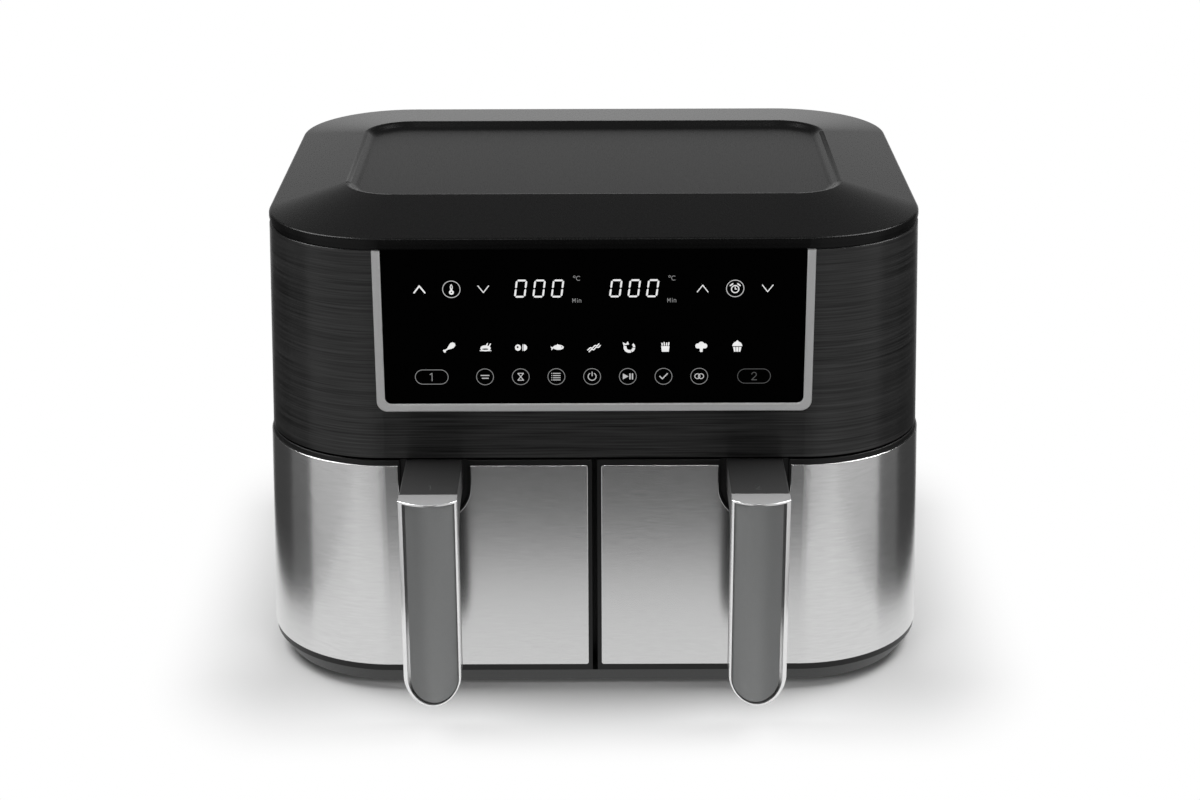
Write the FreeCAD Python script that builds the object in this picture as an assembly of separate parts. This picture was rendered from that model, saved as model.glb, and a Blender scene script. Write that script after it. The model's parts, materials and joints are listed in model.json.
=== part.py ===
"""Air fryer with two drawers side by side, built as the separate pieces it comes apart into.

Millimetres, +Z up, the table at Z 0. The front faces -Y, and left and right are the user's.
X 0 is the middle of the casing, and Y 0 the middle of the whole depth, handles included.
"""

import FreeCAD
import Part
import math
import os

V = FreeCAD.Vector

# Whole appliance
WIDTH = 400.0
SIDE_LEAN = 0.036
DEPTH = 325.0
HEIGHT = 305.0
CORNER_R = 72.0
HANDLE_REACH = 70.0
WALL = 2.5
FRONT = -(DEPTH - HANDLE_REACH) / 2
BACK = FRONT + DEPTH
SHELL_INSET = 0.2
SHELL_INNER = SHELL_INSET + WALL
SHELL_EDGE_R = 0.8
SEAM_BEHIND = 88.0
SEAM_GAP = 0.6
THROUGH = 10.0

# Levels above the table
FOOT_H = 2.5
BASE_FLOOR = 5.0
BASE_TOP = 12.5
DRAWER_LOW = 13.0
DECK_LOW = 150.5
DECK_TOP = DECK_LOW + WALL
DRAWER_TOP = 156.0
BAND_LOW = 157.5
BAND_TOP = 289.5
LID_LOW = 293.3
LID_EDGE = 296.8

# Base pan and feet
BASE_LOW_INSET = 7.5
BASE_TOP_INSET = 0.8
BASE_POCKET_INSET = 11.0
RAIL_W = 8.0
RAIL_TOP = 18.6
RAIL_SPREAD = 60.0
RAIL_FRONT = 32.0
RAIL_BACK = 290.0
FOOT_R = 11.0
FOOT_X = 140.0
FOOT_FRONT = 42.0
FOOT_BACK = 283.0
BOSS_R = 5.0
BASE_SCREW_X = 172.0
BASE_SCREW_BEHIND = (96.0, 160.0, 224.0)
SCREW_R = 1.8
SCREW_HEAD_R = 3.6
SCREW_HEAD_H = 1.5
REAR_SCREW_L = 8.0

# Top cover: a sloped border round a sunk tray
TRAY_MARGIN_X = 46.0
TRAY_MARGIN_Y = 70.0
TRAY_R = 30.0
TRAY_DEPTH = 3.6
TRAY_SLOPE = 5.0
LID_EDGE_R = 1.6
TRAY_CREST_R = 4.0
TRAY_FOOT_R = 5.0
NECK_INSET = 1.6
SKIRT_INSET = 3.2
SKIRT_INNER = 6.0
SKIRT_LOW = 284.0

# Control panel in the front band
TRIM_HALF = 131.5
TRIM_W = 5.0
TRIM_LOW = 188.0
TRIM_PROUD = 1.2
TRIM_CHAMFER = 0.7
TRIM_R = 6.5
GLASS_T = 3.0
GLASS_PROUD = 0.3
BEZEL_T = 3.4
BEZEL_TOP = 283.0
BOARD_BEHIND = 14.0
BOARD_T = 1.6
BOARD_MARGIN = 12.0
DISPLAY_X = (-26.0, 32.0)
DISPLAY_Z = 263.5
DISPLAY_W = 46.0
DISPLAY_H = 20.0
PAD_R = 4.0
PAD_ROW_LOW = 208.0
PAD_ROW_MID = 226.0
PAD_ROW_TOP = 263.5
PAD_PITCH = 21.5
PAD_ROW_TOP_X = (-84.0, -65.0, 66.0, 84.0)

# Bays
BAY_X = 98.0
DIVIDER_T = 3.0
DIVIDER_FRONT = 20.0
BULKHEAD_BEHIND = 301.0
DECK_INSET = 16.0
DECK_FRONT = 21.5
LEDGE_TOP = 160.0
POST_R = 4.0
POST_TOP = 222.0
POST_Y = (-25.0, 85.0)

# Hot-air units above the bays
CHAMBER_HALF = 80.0
CHAMBER_FRONT = 36.0
CHAMBER_BACK = 290.0
CHAMBER_TOP = 205.0
CHAMBER_R = 40.0
SHEET = 1.0
FLANGE = 4.0
UNIT_BEHIND = 160.0
UNIT_Y = FRONT + UNIT_BEHIND
HEATER_Z = 172.0
HEATER_R = 3.25
HEATER_RINGS = (72.0, 56.0)
HEATER_GAP_DEG = 14.0
LEAD_BEND = 8.0
LEAD_RUN = 4.0
LEAD_TOP = 214.0
LEAD_HOLE_R = 4.4
GUARD_Z = 160.0
GUARD_WIRE_R = 1.25
GUARD_RINGS = (24.0, 48.0, 72.0)
GUARD_BAR_AT = 14.0
GUARD_BAR_DROP = 1.0
SHAFT_R = 4.0
SHAFT_LOW = 182.0
SHAFT_TOP = 262.0
SHAFT_PLAY = 0.05
FAN_LOW = 183.0
FAN_TOP = 197.0
FAN_R = 46.0
FAN_HUB_R = 8.0
FAN_DISC_T = 1.5
FAN_BLADES = 10
FAN_BLADE_BOW = (29.0, 1.0)
FAN_BLADE_TIP = (45.0, 14.0)
COOLER_LOW = 250.0
COOLER_H = 11.0
COOLER_R = 44.0
COOLER_HUB_R = 11.0
COOLER_BLADES = 7
COOLER_PITCH_DEG = 32.0
BLADE_T = 1.4
MOTOR_LOW = 215.0
MOTOR_TOP = 245.0
MOTOR_R = 30.0
MOTOR_BOSS_R = 7.5
BRACKET_T = 2.0
BRACKET_X = 46.0
BRACKET_Y = 26.0
BRACKET_LEG_R = 4.0
PORT_X = 74.0
PORT_HALF = 38.0
PORT_LOW = 166.0
PORT_TOP = 196.0
DUCT_WALL = 1.5
CUTOUT_AT = (52.0, -70.0)
CUTOUT_R = 8.0
CUTOUT_H = 8.0
PROBE_AT = -40.0
PROBE_R = 2.5
PROBE_Z = 168.0
PROBE_OUT = 6.0
PROBE_IN = 24.0

# Rear cover
GRILLE_HALF = 46.0
GRILLE_LOW = 164.0
GRILLE_TOP = 262.0
GRILLE_R = 6.0
SLOT_H = 4.2
SLOT_PITCH = 8.4
SLOT_HALF = 39.0
GLAND_X = -120.0
GLAND_Z = 46.0
GLAND_R = 9.0
GLAND_BORE_R = 3.6
GLAND_T = 9.0
GLAND_NECK_R = 7.0
REAR_SCREW_X = (-118.0, 0.0, 118.0)
REAR_SCREW_Z = (24.0, 276.0)

# Drawer front, skin and handle
FRONT_GAP = 1.6
FRONT_WALL = 4.0
FRONT_FLANGE = 14.0
FRONT_BACK = 87.0
BACKING_T = 2.5
SKIN_PROUD = 0.8
SKIN_BORDER_LOW = 4.0
SKIN_BORDER_TOP = 3.5
SKIN_SIDE = 4.0
SKIN_BACK = 83.0
SKIN_EDGE_R = 0.6
SKIN_CORNER_R = 1.6
FRONT_EDGE_R = 0.8
NOTCH_HALF = 22.0
NOTCH_BOTTOM = 116.0
NOTCH_POCKET = 2.0
HANDLE_X = 98.0
HANDLE_HALF = 17.25
HANDLE_LOW = 24.0
STEM_H = 20.0
GRIP_BACK = 43.0
GRIP_FRONT = 54.0
GRIP_CROOK_R = 14.0
GRIP_EDGE_R = 3.0
STEM_EDGE_R = 1.2
FACE_BULGE = 6.5
FRAME_IN_W = 1.2
FRAME_OUT_W = 2.5
FRAME_TOP_W = 1.2
FRAME_EDGE_R = 0.5
FRAME_BASE_T = 3.5
INSERT_SUNK = 0.5
INSERT_GAP = 0.15
INSERT_GROOVE = 1.9
INSERT_EDGE_R = 0.8
HANDLE_SCREW_R = 2.4
HANDLE_SCREW_HEAD_R = 4.4
HANDLE_SCREW_HEAD_H = 3.0
HANDLE_SCREW_GRIP = 16.0
HANDLE_SCREW_AT = 9.0

# Pot and crisper plate
POT_X0 = 10.0
POT_X1 = 186.0
POT_FRONT = 21.0
POT_BACK = 283.0
POT_R = 36.0
POT_LOW = 19.0
POT_RIM_LOW = 146.0
POT_RIM_TOP = 148.0
POT_RIM_W = 4.0
POT_DRAFT = 3.0
POT_WALL = 2.0
POT_FOOT_R = 10.0
POT_BOSS_R = 6.0
POT_BOSS_X = 50.0
POT_BOSS_Z = (45.0, 130.0)
PLATE_LOW = 27.0
PLATE_TOP = 35.0
PLATE_T = 1.6
PLATE_GAP = 2.6
PLATE_EDGE_R = 1.2
PLATE_SLOT_L = 15.0
PLATE_SLOT_W = 5.0
PLATE_SLOTS_X = 6
PLATE_SLOTS_Y = 13
PLATE_PITCH_X = 22.0
PLATE_PITCH_Y = 17.0
BUMPER_CLEAR = 0.5
BUMPER_TOP = 33.0
BUMPER_W = 14.0
BUMPER_T = 3.4
BUMPER_OUT = 1.9
BUMPER_SPREAD = 70.0
SWITCH_X = 60.0
SWITCH_Z = 100.0
SWITCH_BODY = (20.0, 11.0, 9.0)
PLUNGER_R = 1.6
PLUNGER_GAP = 0.8

# Power board over the deck
POWER_HALF_X = 52.0
POWER_Y = (-38.0, 98.0)
RELAY_SIZE = (18.0, 26.0, 17.0)
RELAY_Y = (-20.0, 25.0, 70.0)


def level(z):
    """Puts (u, v) on a horizontal plane."""
    return lambda u, v: V(u, v, z)


def upright(y):
    """Puts (u, v) on an upright plane that faces the front."""
    return lambda u, v: V(u, y, v)


def behind(distance):
    """The Y of a point that far behind the casing's front face."""
    return FRONT + distance


def joined_edges(points, corners):
    """A closed wire through points, with the arc whose middle is given at each rounded corner."""
    edges = []
    for i, start in enumerate(points):
        end = points[(i + 1) % len(points)]
        middle = corners.get(i)
        if middle is not None:
            edges.append(Part.Arc(start, middle, end).toShape())
        elif start.distanceToPoint(end) > 1e-6:
            edges.append(Part.LineSegment(start, end).toShape())
    return Part.Wire(edges)


def rounded_loop(u0, u1, v0, v1, r, place):
    """A rectangle with four rounded corners, put in space by place."""
    k = r * (1 - math.sqrt(0.5))
    outline = [
        (u0 + r, v0), (u1 - r, v0), (u1, v0 + r), (u1, v1 - r),
        (u1 - r, v1), (u0 + r, v1), (u0, v1 - r), (u0, v0 + r),
    ]
    middles = {1: (u1 - k, v0 + k), 3: (u1 - k, v1 - k), 5: (u0 + k, v1 - k), 7: (u0 + k, v0 + k)}
    points = [place(u, v) for u, v in outline]
    return joined_edges(points, {i: place(u, v) for i, (u, v) in middles.items()})


def u_loop(centre, half, low, top, place):
    """A tongue with square upper corners and a fully round lower end."""
    points = [place(centre - half, top), place(centre - half, low + half),
              place(centre + half, low + half), place(centre + half, top)]
    return joined_edges(points, {1: place(centre, low)})


def prism(wire, x=0.0, y=0.0, z=0.0):
    """A closed wire's face, pushed along (x, y, z)."""
    return Part.Face(wire).extrude(V(x, y, z))


def block(x0, x1, y0, y1, z0, z1):
    """A box between two corners."""
    return Part.makeBox(x1 - x0, y1 - y0, z1 - z0, V(x0, y0, z0))


def rod_z(x, y, z0, z1, r):
    """An upright cylinder."""
    return Part.makeCylinder(r, z1 - z0, V(x, y, z0))


def rod_y(x, z, y0, y1, r):
    """A cylinder that runs front to back."""
    return Part.makeCylinder(r, y1 - y0, V(x, y0, z), V(0, 1, 0))


def fused(*shapes):
    """Several touching shapes as one clean solid."""
    return shapes[0].multiFuse(list(shapes[1:])).removeSplitter()


def group(shapes):
    """Separate solids that share one node."""
    return Part.makeCompound(list(shapes))


def mirrored(shape):
    """The same piece for the other side of the appliance."""
    return shape.mirror(V(0, 0, 0), V(1, 0, 0))


def tapered(*loops):
    """A solid with straight sides from one closed wire to the next."""
    return Part.makeLoft(list(loops), True, True)


def casing_half(z):
    """Half the casing's width at one level: its sides lean out towards the base."""
    return WIDTH / 2 + SIDE_LEAN * (HEIGHT - z)


def casing_corner(z):
    """The casing's corner radius at one level: it grows as the sides lean out."""
    return CORNER_R + casing_half(z) - WIDTH / 2


def casing_loop(inset, z):
    """The casing's outline at one level, drawn in by inset."""
    half = casing_half(z) - inset
    return rounded_loop(-half, half, FRONT + inset, BACK - inset, casing_corner(z) - inset, level(z))


def casing_block(inset, z0, z1):
    """Everything inside the casing's outline between two levels."""
    return tapered(casing_loop(inset, z0), casing_loop(inset, z1))


def casing_ring(outer, inner, z0, z1):
    """A wall that follows the casing's outline between two insets."""
    return casing_block(outer, z0, z1).cut(casing_block(inner, z0, z1))


def ahead_of(y, z0, z1):
    """Everything in front of the plane at y."""
    return block(-WIDTH, WIDTH, FRONT - DEPTH, y, z0, z1)


def edges_at(shape, test):
    """The edges whose bounding box passes test."""
    return [edge for edge in shape.Edges if test(edge.BoundBox)]


def casing_depth(p):
    """How far a point lies inside the casing's outline at its level."""
    r = casing_corner(p.z)
    x = abs(p.x) - (casing_half(p.z) - r)
    y = abs(p.y - (FRONT + BACK) / 2) - (DEPTH / 2 - r)
    outwards = math.hypot(max(x, 0), max(y, 0)) + min(max(x, y), 0)
    return r - outwards


def rim_edges(shape, on_surface):
    """The edges where the surface ends whose points all pass on_surface."""
    faces = [face for face in shape.Faces if all(on_surface(v.Point) for v in face.Vertexes)]
    edges = [edge for face in faces for edge in face.Edges]
    return [edge for edge in edges if sum(edge.isSame(other) for other in edges) == 1]


# Casing


def base_screw_places():
    """Where the base is screwed to the casing: along both sides, front to back."""
    return [(x, behind(d)) for x in (-BASE_SCREW_X, BASE_SCREW_X) for d in BASE_SCREW_BEHIND]


def base_pan():
    """Shallow pan with a drawn-in skirt, drawer rails and screw bosses."""
    skirt = tapered(casing_loop(BASE_LOW_INSET, FOOT_H), casing_loop(BASE_TOP_INSET, BASE_TOP))
    pan = skirt.cut(casing_block(BASE_POCKET_INSET, BASE_FLOOR, BASE_TOP))
    rails = [
        block(x - RAIL_W / 2, x + RAIL_W / 2, behind(RAIL_FRONT), behind(RAIL_BACK), BASE_FLOOR, RAIL_TOP)
        for bay in (-BAY_X, BAY_X)
        for x in (bay - RAIL_SPREAD, bay + RAIL_SPREAD)
    ]
    bosses = [rod_z(x, y, BASE_FLOOR, BASE_TOP, BOSS_R) for x, y in base_screw_places()]
    pan = fused(pan, *rails, *bosses)
    return pan.cut(group(base_screws().Solids))


def base_screws():
    """Screws from below, with their heads sunk in the floor of the pan."""
    return group(
        fused(
            rod_z(x, y, FOOT_H, FOOT_H + SCREW_HEAD_H, SCREW_HEAD_R),
            rod_z(x, y, FOOT_H + SCREW_HEAD_H, BASE_TOP - 1, SCREW_R),
        )
        for x, y in base_screw_places()
    )


def foot_places():
    """The four corners that the appliance stands on."""
    return [(x, behind(d)) for x in (-FOOT_X, FOOT_X) for d in (FOOT_FRONT, FOOT_BACK)]


def rubber_feet():
    """Four tapered pads under the pan."""
    return group(Part.makeCone(FOOT_R - 1, FOOT_R, FOOT_H, V(x, y, 0)) for x, y in foot_places())


def panel_opening(y0, y1):
    """The front band's opening for the control panel, open at the top."""
    loop = rounded_loop(-TRIM_HALF, TRIM_HALF, TRIM_LOW, BAND_TOP + 4 * TRIM_R, TRIM_R, upright(y0))
    return prism(loop, y=y1 - y0)


def shell_ring(z0):
    """The casing's outer wall from one level up to the lid, with its top edge rounded."""
    wall = casing_ring(SHELL_INSET, SHELL_INNER, z0, BAND_TOP)
    outer = rim_edges(wall, lambda p: abs(casing_depth(p) - SHELL_INSET) < 0.01)
    return wall.makeFillet(SHELL_EDGE_R, [edge for edge in outer if edge.BoundBox.ZMin > BAND_TOP - 0.01])


def upper_housing():
    """The band round the front and its corners, above the drawers."""
    band = shell_ring(BAND_LOW)
    band = band.common(ahead_of(behind(SEAM_BEHIND), BAND_LOW, BAND_TOP))
    return band.cut(panel_opening(behind(-THROUGH), behind(THROUGH)))


def grille_loop(centre, y):
    """The outline of one vent panel in the back."""
    return rounded_loop(centre - GRILLE_HALF, centre + GRILLE_HALF, GRILLE_LOW, GRILLE_TOP,
                        GRILLE_R, upright(y))


def rear_cover():
    """Sides and back in one moulding, from the seam backwards."""
    shell = shell_ring(BASE_TOP)
    shell = shell.cut(ahead_of(behind(SEAM_BEHIND + SEAM_GAP), 0, HEIGHT))
    vents = [prism(grille_loop(x, BACK - THROUGH), y=2 * THROUGH) for x in (-PORT_X, PORT_X)]
    gland = rod_y(GLAND_X, GLAND_Z, BACK - THROUGH, BACK + THROUGH, GLAND_NECK_R)
    return shell.cut(group(vents + [gland] + rear_screws().Solids))


def rear_grilles():
    """A louvred panel behind each hot-air unit."""
    panels = []
    for x in (-PORT_X, PORT_X):
        panel = prism(grille_loop(x, BACK - SHELL_INNER), y=WALL)
        count = int((GRILLE_TOP - GRILLE_LOW - SLOT_PITCH) / SLOT_PITCH)
        first = (GRILLE_LOW + GRILLE_TOP - (count - 1) * SLOT_PITCH) / 2
        slots = []
        for i in range(count):
            z = first + i * SLOT_PITCH
            loop = rounded_loop(x - SLOT_HALF, x + SLOT_HALF, z - SLOT_H / 2, z + SLOT_H / 2,
                                SLOT_H / 2, upright(BACK - THROUGH))
            slots.append(prism(loop, y=2 * THROUGH))
        panels.append(panel.cut(group(slots)))
    return group(panels)


def rear_screws():
    """Screws through the back, with their heads flush."""
    outside = BACK - SHELL_INSET
    return group(
        fused(
            rod_y(x, z, outside - SCREW_HEAD_H, outside, SCREW_HEAD_R),
            rod_y(x, z, outside - SCREW_HEAD_H - REAR_SCREW_L, outside - SCREW_HEAD_H, SCREW_R),
        )
        for x in REAR_SCREW_X for z in REAR_SCREW_Z
    )


def cord_gland():
    """Flanged bush that the mains lead would come out of."""
    outside = BACK - SHELL_INSET
    bush = fused(
        rod_y(GLAND_X, GLAND_Z, outside, BACK, GLAND_R),
        rod_y(GLAND_X, GLAND_Z, outside - GLAND_T, outside, GLAND_NECK_R),
    )
    return bush.cut(rod_y(GLAND_X, GLAND_Z, outside - 2 * GLAND_T, BACK + THROUGH, GLAND_BORE_R))


def tray_loop(inset, z):
    """The outline of the sunk tray in the top, drawn in by inset."""
    half = WIDTH / 2 - TRAY_MARGIN_X - inset
    return rounded_loop(-half, half, FRONT + TRAY_MARGIN_Y + inset, BACK - TRAY_MARGIN_Y - inset,
                        TRAY_R - inset, level(z))


def top_cover():
    """Lid with a rim, a border that slopes up, and a shallow tray sunk in the middle."""
    rim = casing_block(0, LID_LOW, LID_EDGE)
    border = tapered(casing_loop(0, LID_EDGE), tray_loop(0, HEIGHT))
    neck = casing_block(NECK_INSET, BAND_TOP, LID_LOW)
    skirt = casing_block(SKIRT_INSET, SKIRT_LOW, BAND_TOP)
    lid = fused(rim, border, neck, skirt)
    tray_floor = HEIGHT - TRAY_DEPTH
    lid = lid.cut(tapered(tray_loop(TRAY_SLOPE, tray_floor), tray_loop(0, HEIGHT)))
    lid = lid.cut(casing_block(SKIRT_INNER, SKIRT_LOW, LID_EDGE - WALL))
    lid = lid.cut(tapered(casing_loop(SKIRT_INNER, LID_EDGE - WALL), tray_loop(-2 * WALL, tray_floor - WALL)))
    crest = edges_at(lid, lambda b: b.ZMin > HEIGHT - 0.01)
    lid = lid.makeFillet(TRAY_CREST_R, crest)
    foot = edges_at(lid, lambda b: b.ZMin > tray_floor - 0.01 and b.ZMax < tray_floor + 0.01)
    lid = lid.makeFillet(TRAY_FOOT_R, foot)
    rim_edge = edges_at(lid, lambda b: b.ZMin > LID_EDGE - 0.01 and b.ZMax < LID_EDGE + 0.01)
    return lid.makeFillet(LID_EDGE_R, rim_edge)


# Control panel


def panel_trim():
    """Bright U round the panel: down one side, along the bottom and up the other."""
    outer = prism(rounded_loop(-TRIM_HALF, TRIM_HALF, TRIM_LOW, BAND_TOP + 4 * TRIM_R, TRIM_R,
                               upright(behind(-TRIM_PROUD))), y=TRIM_PROUD + WALL)
    half = TRIM_HALF - TRIM_W
    inner = prism(rounded_loop(-half, half, TRIM_LOW + TRIM_W, BAND_TOP + 4 * TRIM_R, TRIM_R - TRIM_W / 2,
                               upright(behind(-2 * TRIM_PROUD))), y=4 * WALL)
    trim = outer.cut(inner)
    trim = trim.common(block(-WIDTH, WIDTH, behind(-THROUGH), behind(THROUGH), 0, BAND_TOP))
    face = behind(-TRIM_PROUD)
    front_edges = edges_at(trim, lambda b: b.YMax < face + 0.01 and b.ZMin < BAND_TOP - 0.01)
    return trim.makeChamfer(TRIM_CHAMFER, front_edges)


def control_glass():
    """Black touch panel that fills the trim."""
    half = TRIM_HALF - TRIM_W
    pane = prism(rounded_loop(-half, half, TRIM_LOW + TRIM_W, BAND_TOP + 4 * TRIM_R, TRIM_R - TRIM_W / 2,
                              upright(behind(-GLASS_PROUD))), y=GLASS_T)
    return pane.common(block(-WIDTH, WIDTH, behind(-THROUGH), behind(THROUGH), 0, BAND_TOP))


def board_places():
    """The four bosses that carry the control board."""
    half = TRIM_HALF - TRIM_W - 2 * BOARD_MARGIN
    rows = (TRIM_LOW + 3 * BOARD_MARGIN / 2, BEZEL_TOP - BOARD_MARGIN)
    return [(x, z) for x in (-half, half) for z in rows]


def panel_bezel():
    """Carrier frame stuck behind the glass, with bosses for the board."""
    y0 = behind(GLASS_T - GLASS_PROUD)
    half = TRIM_HALF - TRIM_W - 1
    low = TRIM_LOW + TRIM_W + 1
    plate = block(-half, half, y0, y0 + BEZEL_T, low, BEZEL_TOP)
    window = block(-half + BOARD_MARGIN / 2, half - BOARD_MARGIN / 2, y0, y0 + BEZEL_T,
                   low + BOARD_MARGIN / 2, BEZEL_TOP - BOARD_MARGIN / 2)
    bars = [block(x - BOSS_R, x + BOSS_R, y0, y0 + BEZEL_T, low, BEZEL_TOP) for x, z in board_places()[::2]]
    bosses = [rod_y(x, z, y0, behind(BOARD_BEHIND), BOSS_R - 1) for x, z in board_places()]
    return fused(plate.cut(window), *bars, *bosses)


def control_board():
    """Circuit board behind the panel."""
    half = TRIM_HALF - TRIM_W - BOARD_MARGIN
    y0 = behind(BOARD_BEHIND)
    return block(-half, half, y0, y0 + BOARD_T, TRIM_LOW + BOARD_MARGIN, BEZEL_TOP - BOARD_MARGIN / 2)


def display_modules():
    """One digit display for each drawer, between the glass and the board."""
    y0 = behind(GLASS_T - GLASS_PROUD)
    return group(
        block(x - DISPLAY_W / 2, x + DISPLAY_W / 2, y0, behind(BOARD_BEHIND),
              DISPLAY_Z - DISPLAY_H / 2, DISPLAY_Z + DISPLAY_H / 2)
        for x in DISPLAY_X
    )


def touch_pads():
    """Conductive pads that press on the back of the glass behind each touch key."""
    y0 = behind(GLASS_T - GLASS_PROUD)
    places = [(i * PAD_PITCH, z) for z in (PAD_ROW_LOW, PAD_ROW_MID) for i in range(-3, 5)]
    places += [(x, PAD_ROW_TOP) for x in PAD_ROW_TOP_X]
    return group(rod_y(x, z, y0, behind(BOARD_BEHIND), PAD_R) for x, z in places)


# Bays and deck


def centre_divider():
    """Wall between the two drawer bays."""
    half = DIVIDER_T / 2
    return block(-half, half, behind(DIVIDER_FRONT), behind(BULKHEAD_BEHIND), BASE_FLOOR, DECK_LOW)


def rear_bulkhead():
    """Wall at the back of the bays."""
    y0 = behind(BULKHEAD_BEHIND)
    wall = block(-WIDTH / 2, WIDTH / 2, y0, y0 + WALL, BASE_FLOOR, DECK_LOW)
    return wall.common(casing_block(BASE_POCKET_INSET, BASE_FLOOR, DECK_LOW))


def deck():
    """Tray over the bays that carries the hot-air units, with a ledge out to the casing."""
    tray = casing_block(DECK_INSET, DECK_LOW, LEDGE_TOP).cut(ahead_of(behind(DECK_FRONT), 0, HEIGHT))
    hollow = casing_block(DECK_INSET + WALL, DECK_TOP, LEDGE_TOP)
    hollow = hollow.cut(ahead_of(behind(DECK_FRONT + WALL), 0, HEIGHT))
    ledge = casing_block(SHELL_INNER, BAND_LOW, LEDGE_TOP)
    posts = [rod_z(0, y, DECK_TOP, POST_TOP, POST_R) for y in POST_Y]
    plate = fused(ledge.fuse(tray).cut(hollow), *posts)
    inside = CHAMBER_HALF - 2 * FLANGE
    mouths = [
        prism(rounded_loop(x - inside, x + inside, behind(CHAMBER_FRONT + 2 * FLANGE),
                           behind(CHAMBER_BACK - 2 * FLANGE), CHAMBER_R - 2 * FLANGE,
                           level(DECK_LOW)), z=WALL)
        for x in (-BAY_X, BAY_X)
    ]
    return plate.cut(group(mouths))


def door_switches():
    """Micro-switches at the back of the bays that feel a closed drawer."""
    length, depth, height = SWITCH_BODY
    y1 = behind(BULKHEAD_BEHIND)
    draft = POT_DRAFT * (POT_RIM_LOW - SWITCH_Z) / (POT_RIM_LOW - POT_LOW)
    reach = behind(POT_BACK) - draft + PLUNGER_GAP
    return group(
        fused(
            block(x - length / 2, x + length / 2, y1 - depth, y1,
                  SWITCH_Z - height / 2, SWITCH_Z + height / 2),
            rod_y(x + length / 4, SWITCH_Z, reach, y1 - depth, PLUNGER_R),
        )
        for x in (-SWITCH_X, SWITCH_X)
    )


def power_board():
    """Mains board on the deck's posts, between the motors."""
    return block(-POWER_HALF_X, POWER_HALF_X, POWER_Y[0], POWER_Y[1], POST_TOP, POST_TOP + BOARD_T)


def relays():
    """Heater and motor relays on the power board."""
    length, width, height = RELAY_SIZE
    z0 = POST_TOP + BOARD_T
    return group(
        block(-length / 2, length / 2, y - width / 2, y + width / 2, z0, z0 + height) for y in RELAY_Y
    )


# Hot-air units


def lead_places():
    """Where the heater's two ends turn up through the chamber, from the unit's axis."""
    angle = math.radians(90 + HEATER_GAP_DEG)
    along = V(math.sin(angle), -math.cos(angle), 0) * (LEAD_RUN + LEAD_BEND)
    return [V(r * math.cos(angle), r * math.sin(angle), 0) + along for r in HEATER_RINGS]


def chamber(x):
    """Pressed steel hood, open below, that holds the heater and fan."""
    def hood(inset, z0, z1):
        half = CHAMBER_HALF - inset
        front, back = behind(CHAMBER_FRONT + inset), behind(CHAMBER_BACK - inset)
        return prism(rounded_loop(x - half, x + half, front, back, CHAMBER_R - inset, level(z0)), z=z1 - z0)
    flange = hood(-FLANGE / 2, DECK_TOP, DECK_TOP + SHEET)
    body = fused(hood(0, DECK_TOP, CHAMBER_TOP), flange).cut(hood(SHEET, DECK_TOP, CHAMBER_TOP - SHEET))
    port = math.copysign(PORT_X, x)
    openings = [
        rod_z(x, UNIT_Y, CHAMBER_TOP - THROUGH, CHAMBER_TOP + THROUGH, MOTOR_BOSS_R),
        block(port - PORT_HALF, port + PORT_HALF, behind(CHAMBER_BACK - THROUGH),
              behind(CHAMBER_BACK + THROUGH), PORT_LOW, PORT_TOP),
        rod_y(x + PROBE_AT, PROBE_Z, behind(CHAMBER_FRONT - THROUGH),
              behind(CHAMBER_FRONT + THROUGH), PROBE_R),
    ]
    openings += [
        rod_z(x + p.x, UNIT_Y + p.y, CHAMBER_TOP - THROUGH, CHAMBER_TOP + THROUGH, LEAD_HOLE_R)
        for p in lead_places()
    ]
    return body.cut(group(openings))


def ring_arcs(r, start_deg, end_deg, pieces):
    """Arcs along a ring of the heater, from one bearing to another."""
    def at(deg):
        return V(r * math.cos(math.radians(deg)), r * math.sin(math.radians(deg)), HEATER_Z)
    step = (end_deg - start_deg) / pieces
    bearings = [start_deg + i * step for i in range(pieces)]
    return [Part.Arc(at(a), at(a + step / 2), at(a + step)).toShape() for a in bearings]


def lead_edges(ring_end, away):
    """From a ring's end: a short run, a quarter bend upwards and the terminal."""
    up = V(0, 0, LEAD_BEND)
    bend_start = ring_end + away * LEAD_RUN
    bend_end = bend_start + away * LEAD_BEND + up
    middle = bend_start + away * (LEAD_BEND * math.sin(math.pi / 4)) + up * (1 - math.cos(math.pi / 4))
    return [
        Part.LineSegment(ring_end, bend_start).toShape(),
        Part.Arc(bend_start, middle, bend_end).toShape(),
        Part.LineSegment(bend_end, V(bend_end.x, bend_end.y, LEAD_TOP)).toShape(),
    ]


def heating_element(x):
    """Tubular heater: once round, a hairpin inwards, and back round to the start."""
    outer, inner = HEATER_RINGS
    start, end = 90 + HEATER_GAP_DEG, 450 - HEATER_GAP_DEG
    bearing = math.radians(end)
    outwards = V(math.cos(bearing), math.sin(bearing), 0)
    onwards = V(-math.sin(bearing), math.cos(bearing), 0)
    up = V(0, 0, HEATER_Z)
    middle = outwards * ((outer + inner) / 2) + onwards * ((outer - inner) / 2) + up
    hairpin = Part.Arc(outwards * outer + up, middle, outwards * inner + up).toShape()
    first = math.radians(start)
    away = V(math.sin(first), -math.cos(first), 0)
    ends = [V(r * math.cos(first), r * math.sin(first), HEATER_Z) for r in HEATER_RINGS]
    path = Part.Wire(
        lead_edges(ends[0], away)[::-1]
        + ring_arcs(outer, start, end, 3)
        + [hairpin]
        + ring_arcs(inner, end, start, 3)
        + lead_edges(ends[1], away)
    )
    top = ends[0] + away * (LEAD_RUN + LEAD_BEND)
    section = Part.Wire(Part.Circle(V(top.x, top.y, LEAD_TOP), V(0, 0, 1), HEATER_R).toShape())
    tube = path.makePipeShell([section], True, False)
    tube.translate(V(x, UNIT_Y, 0))
    return tube


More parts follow.
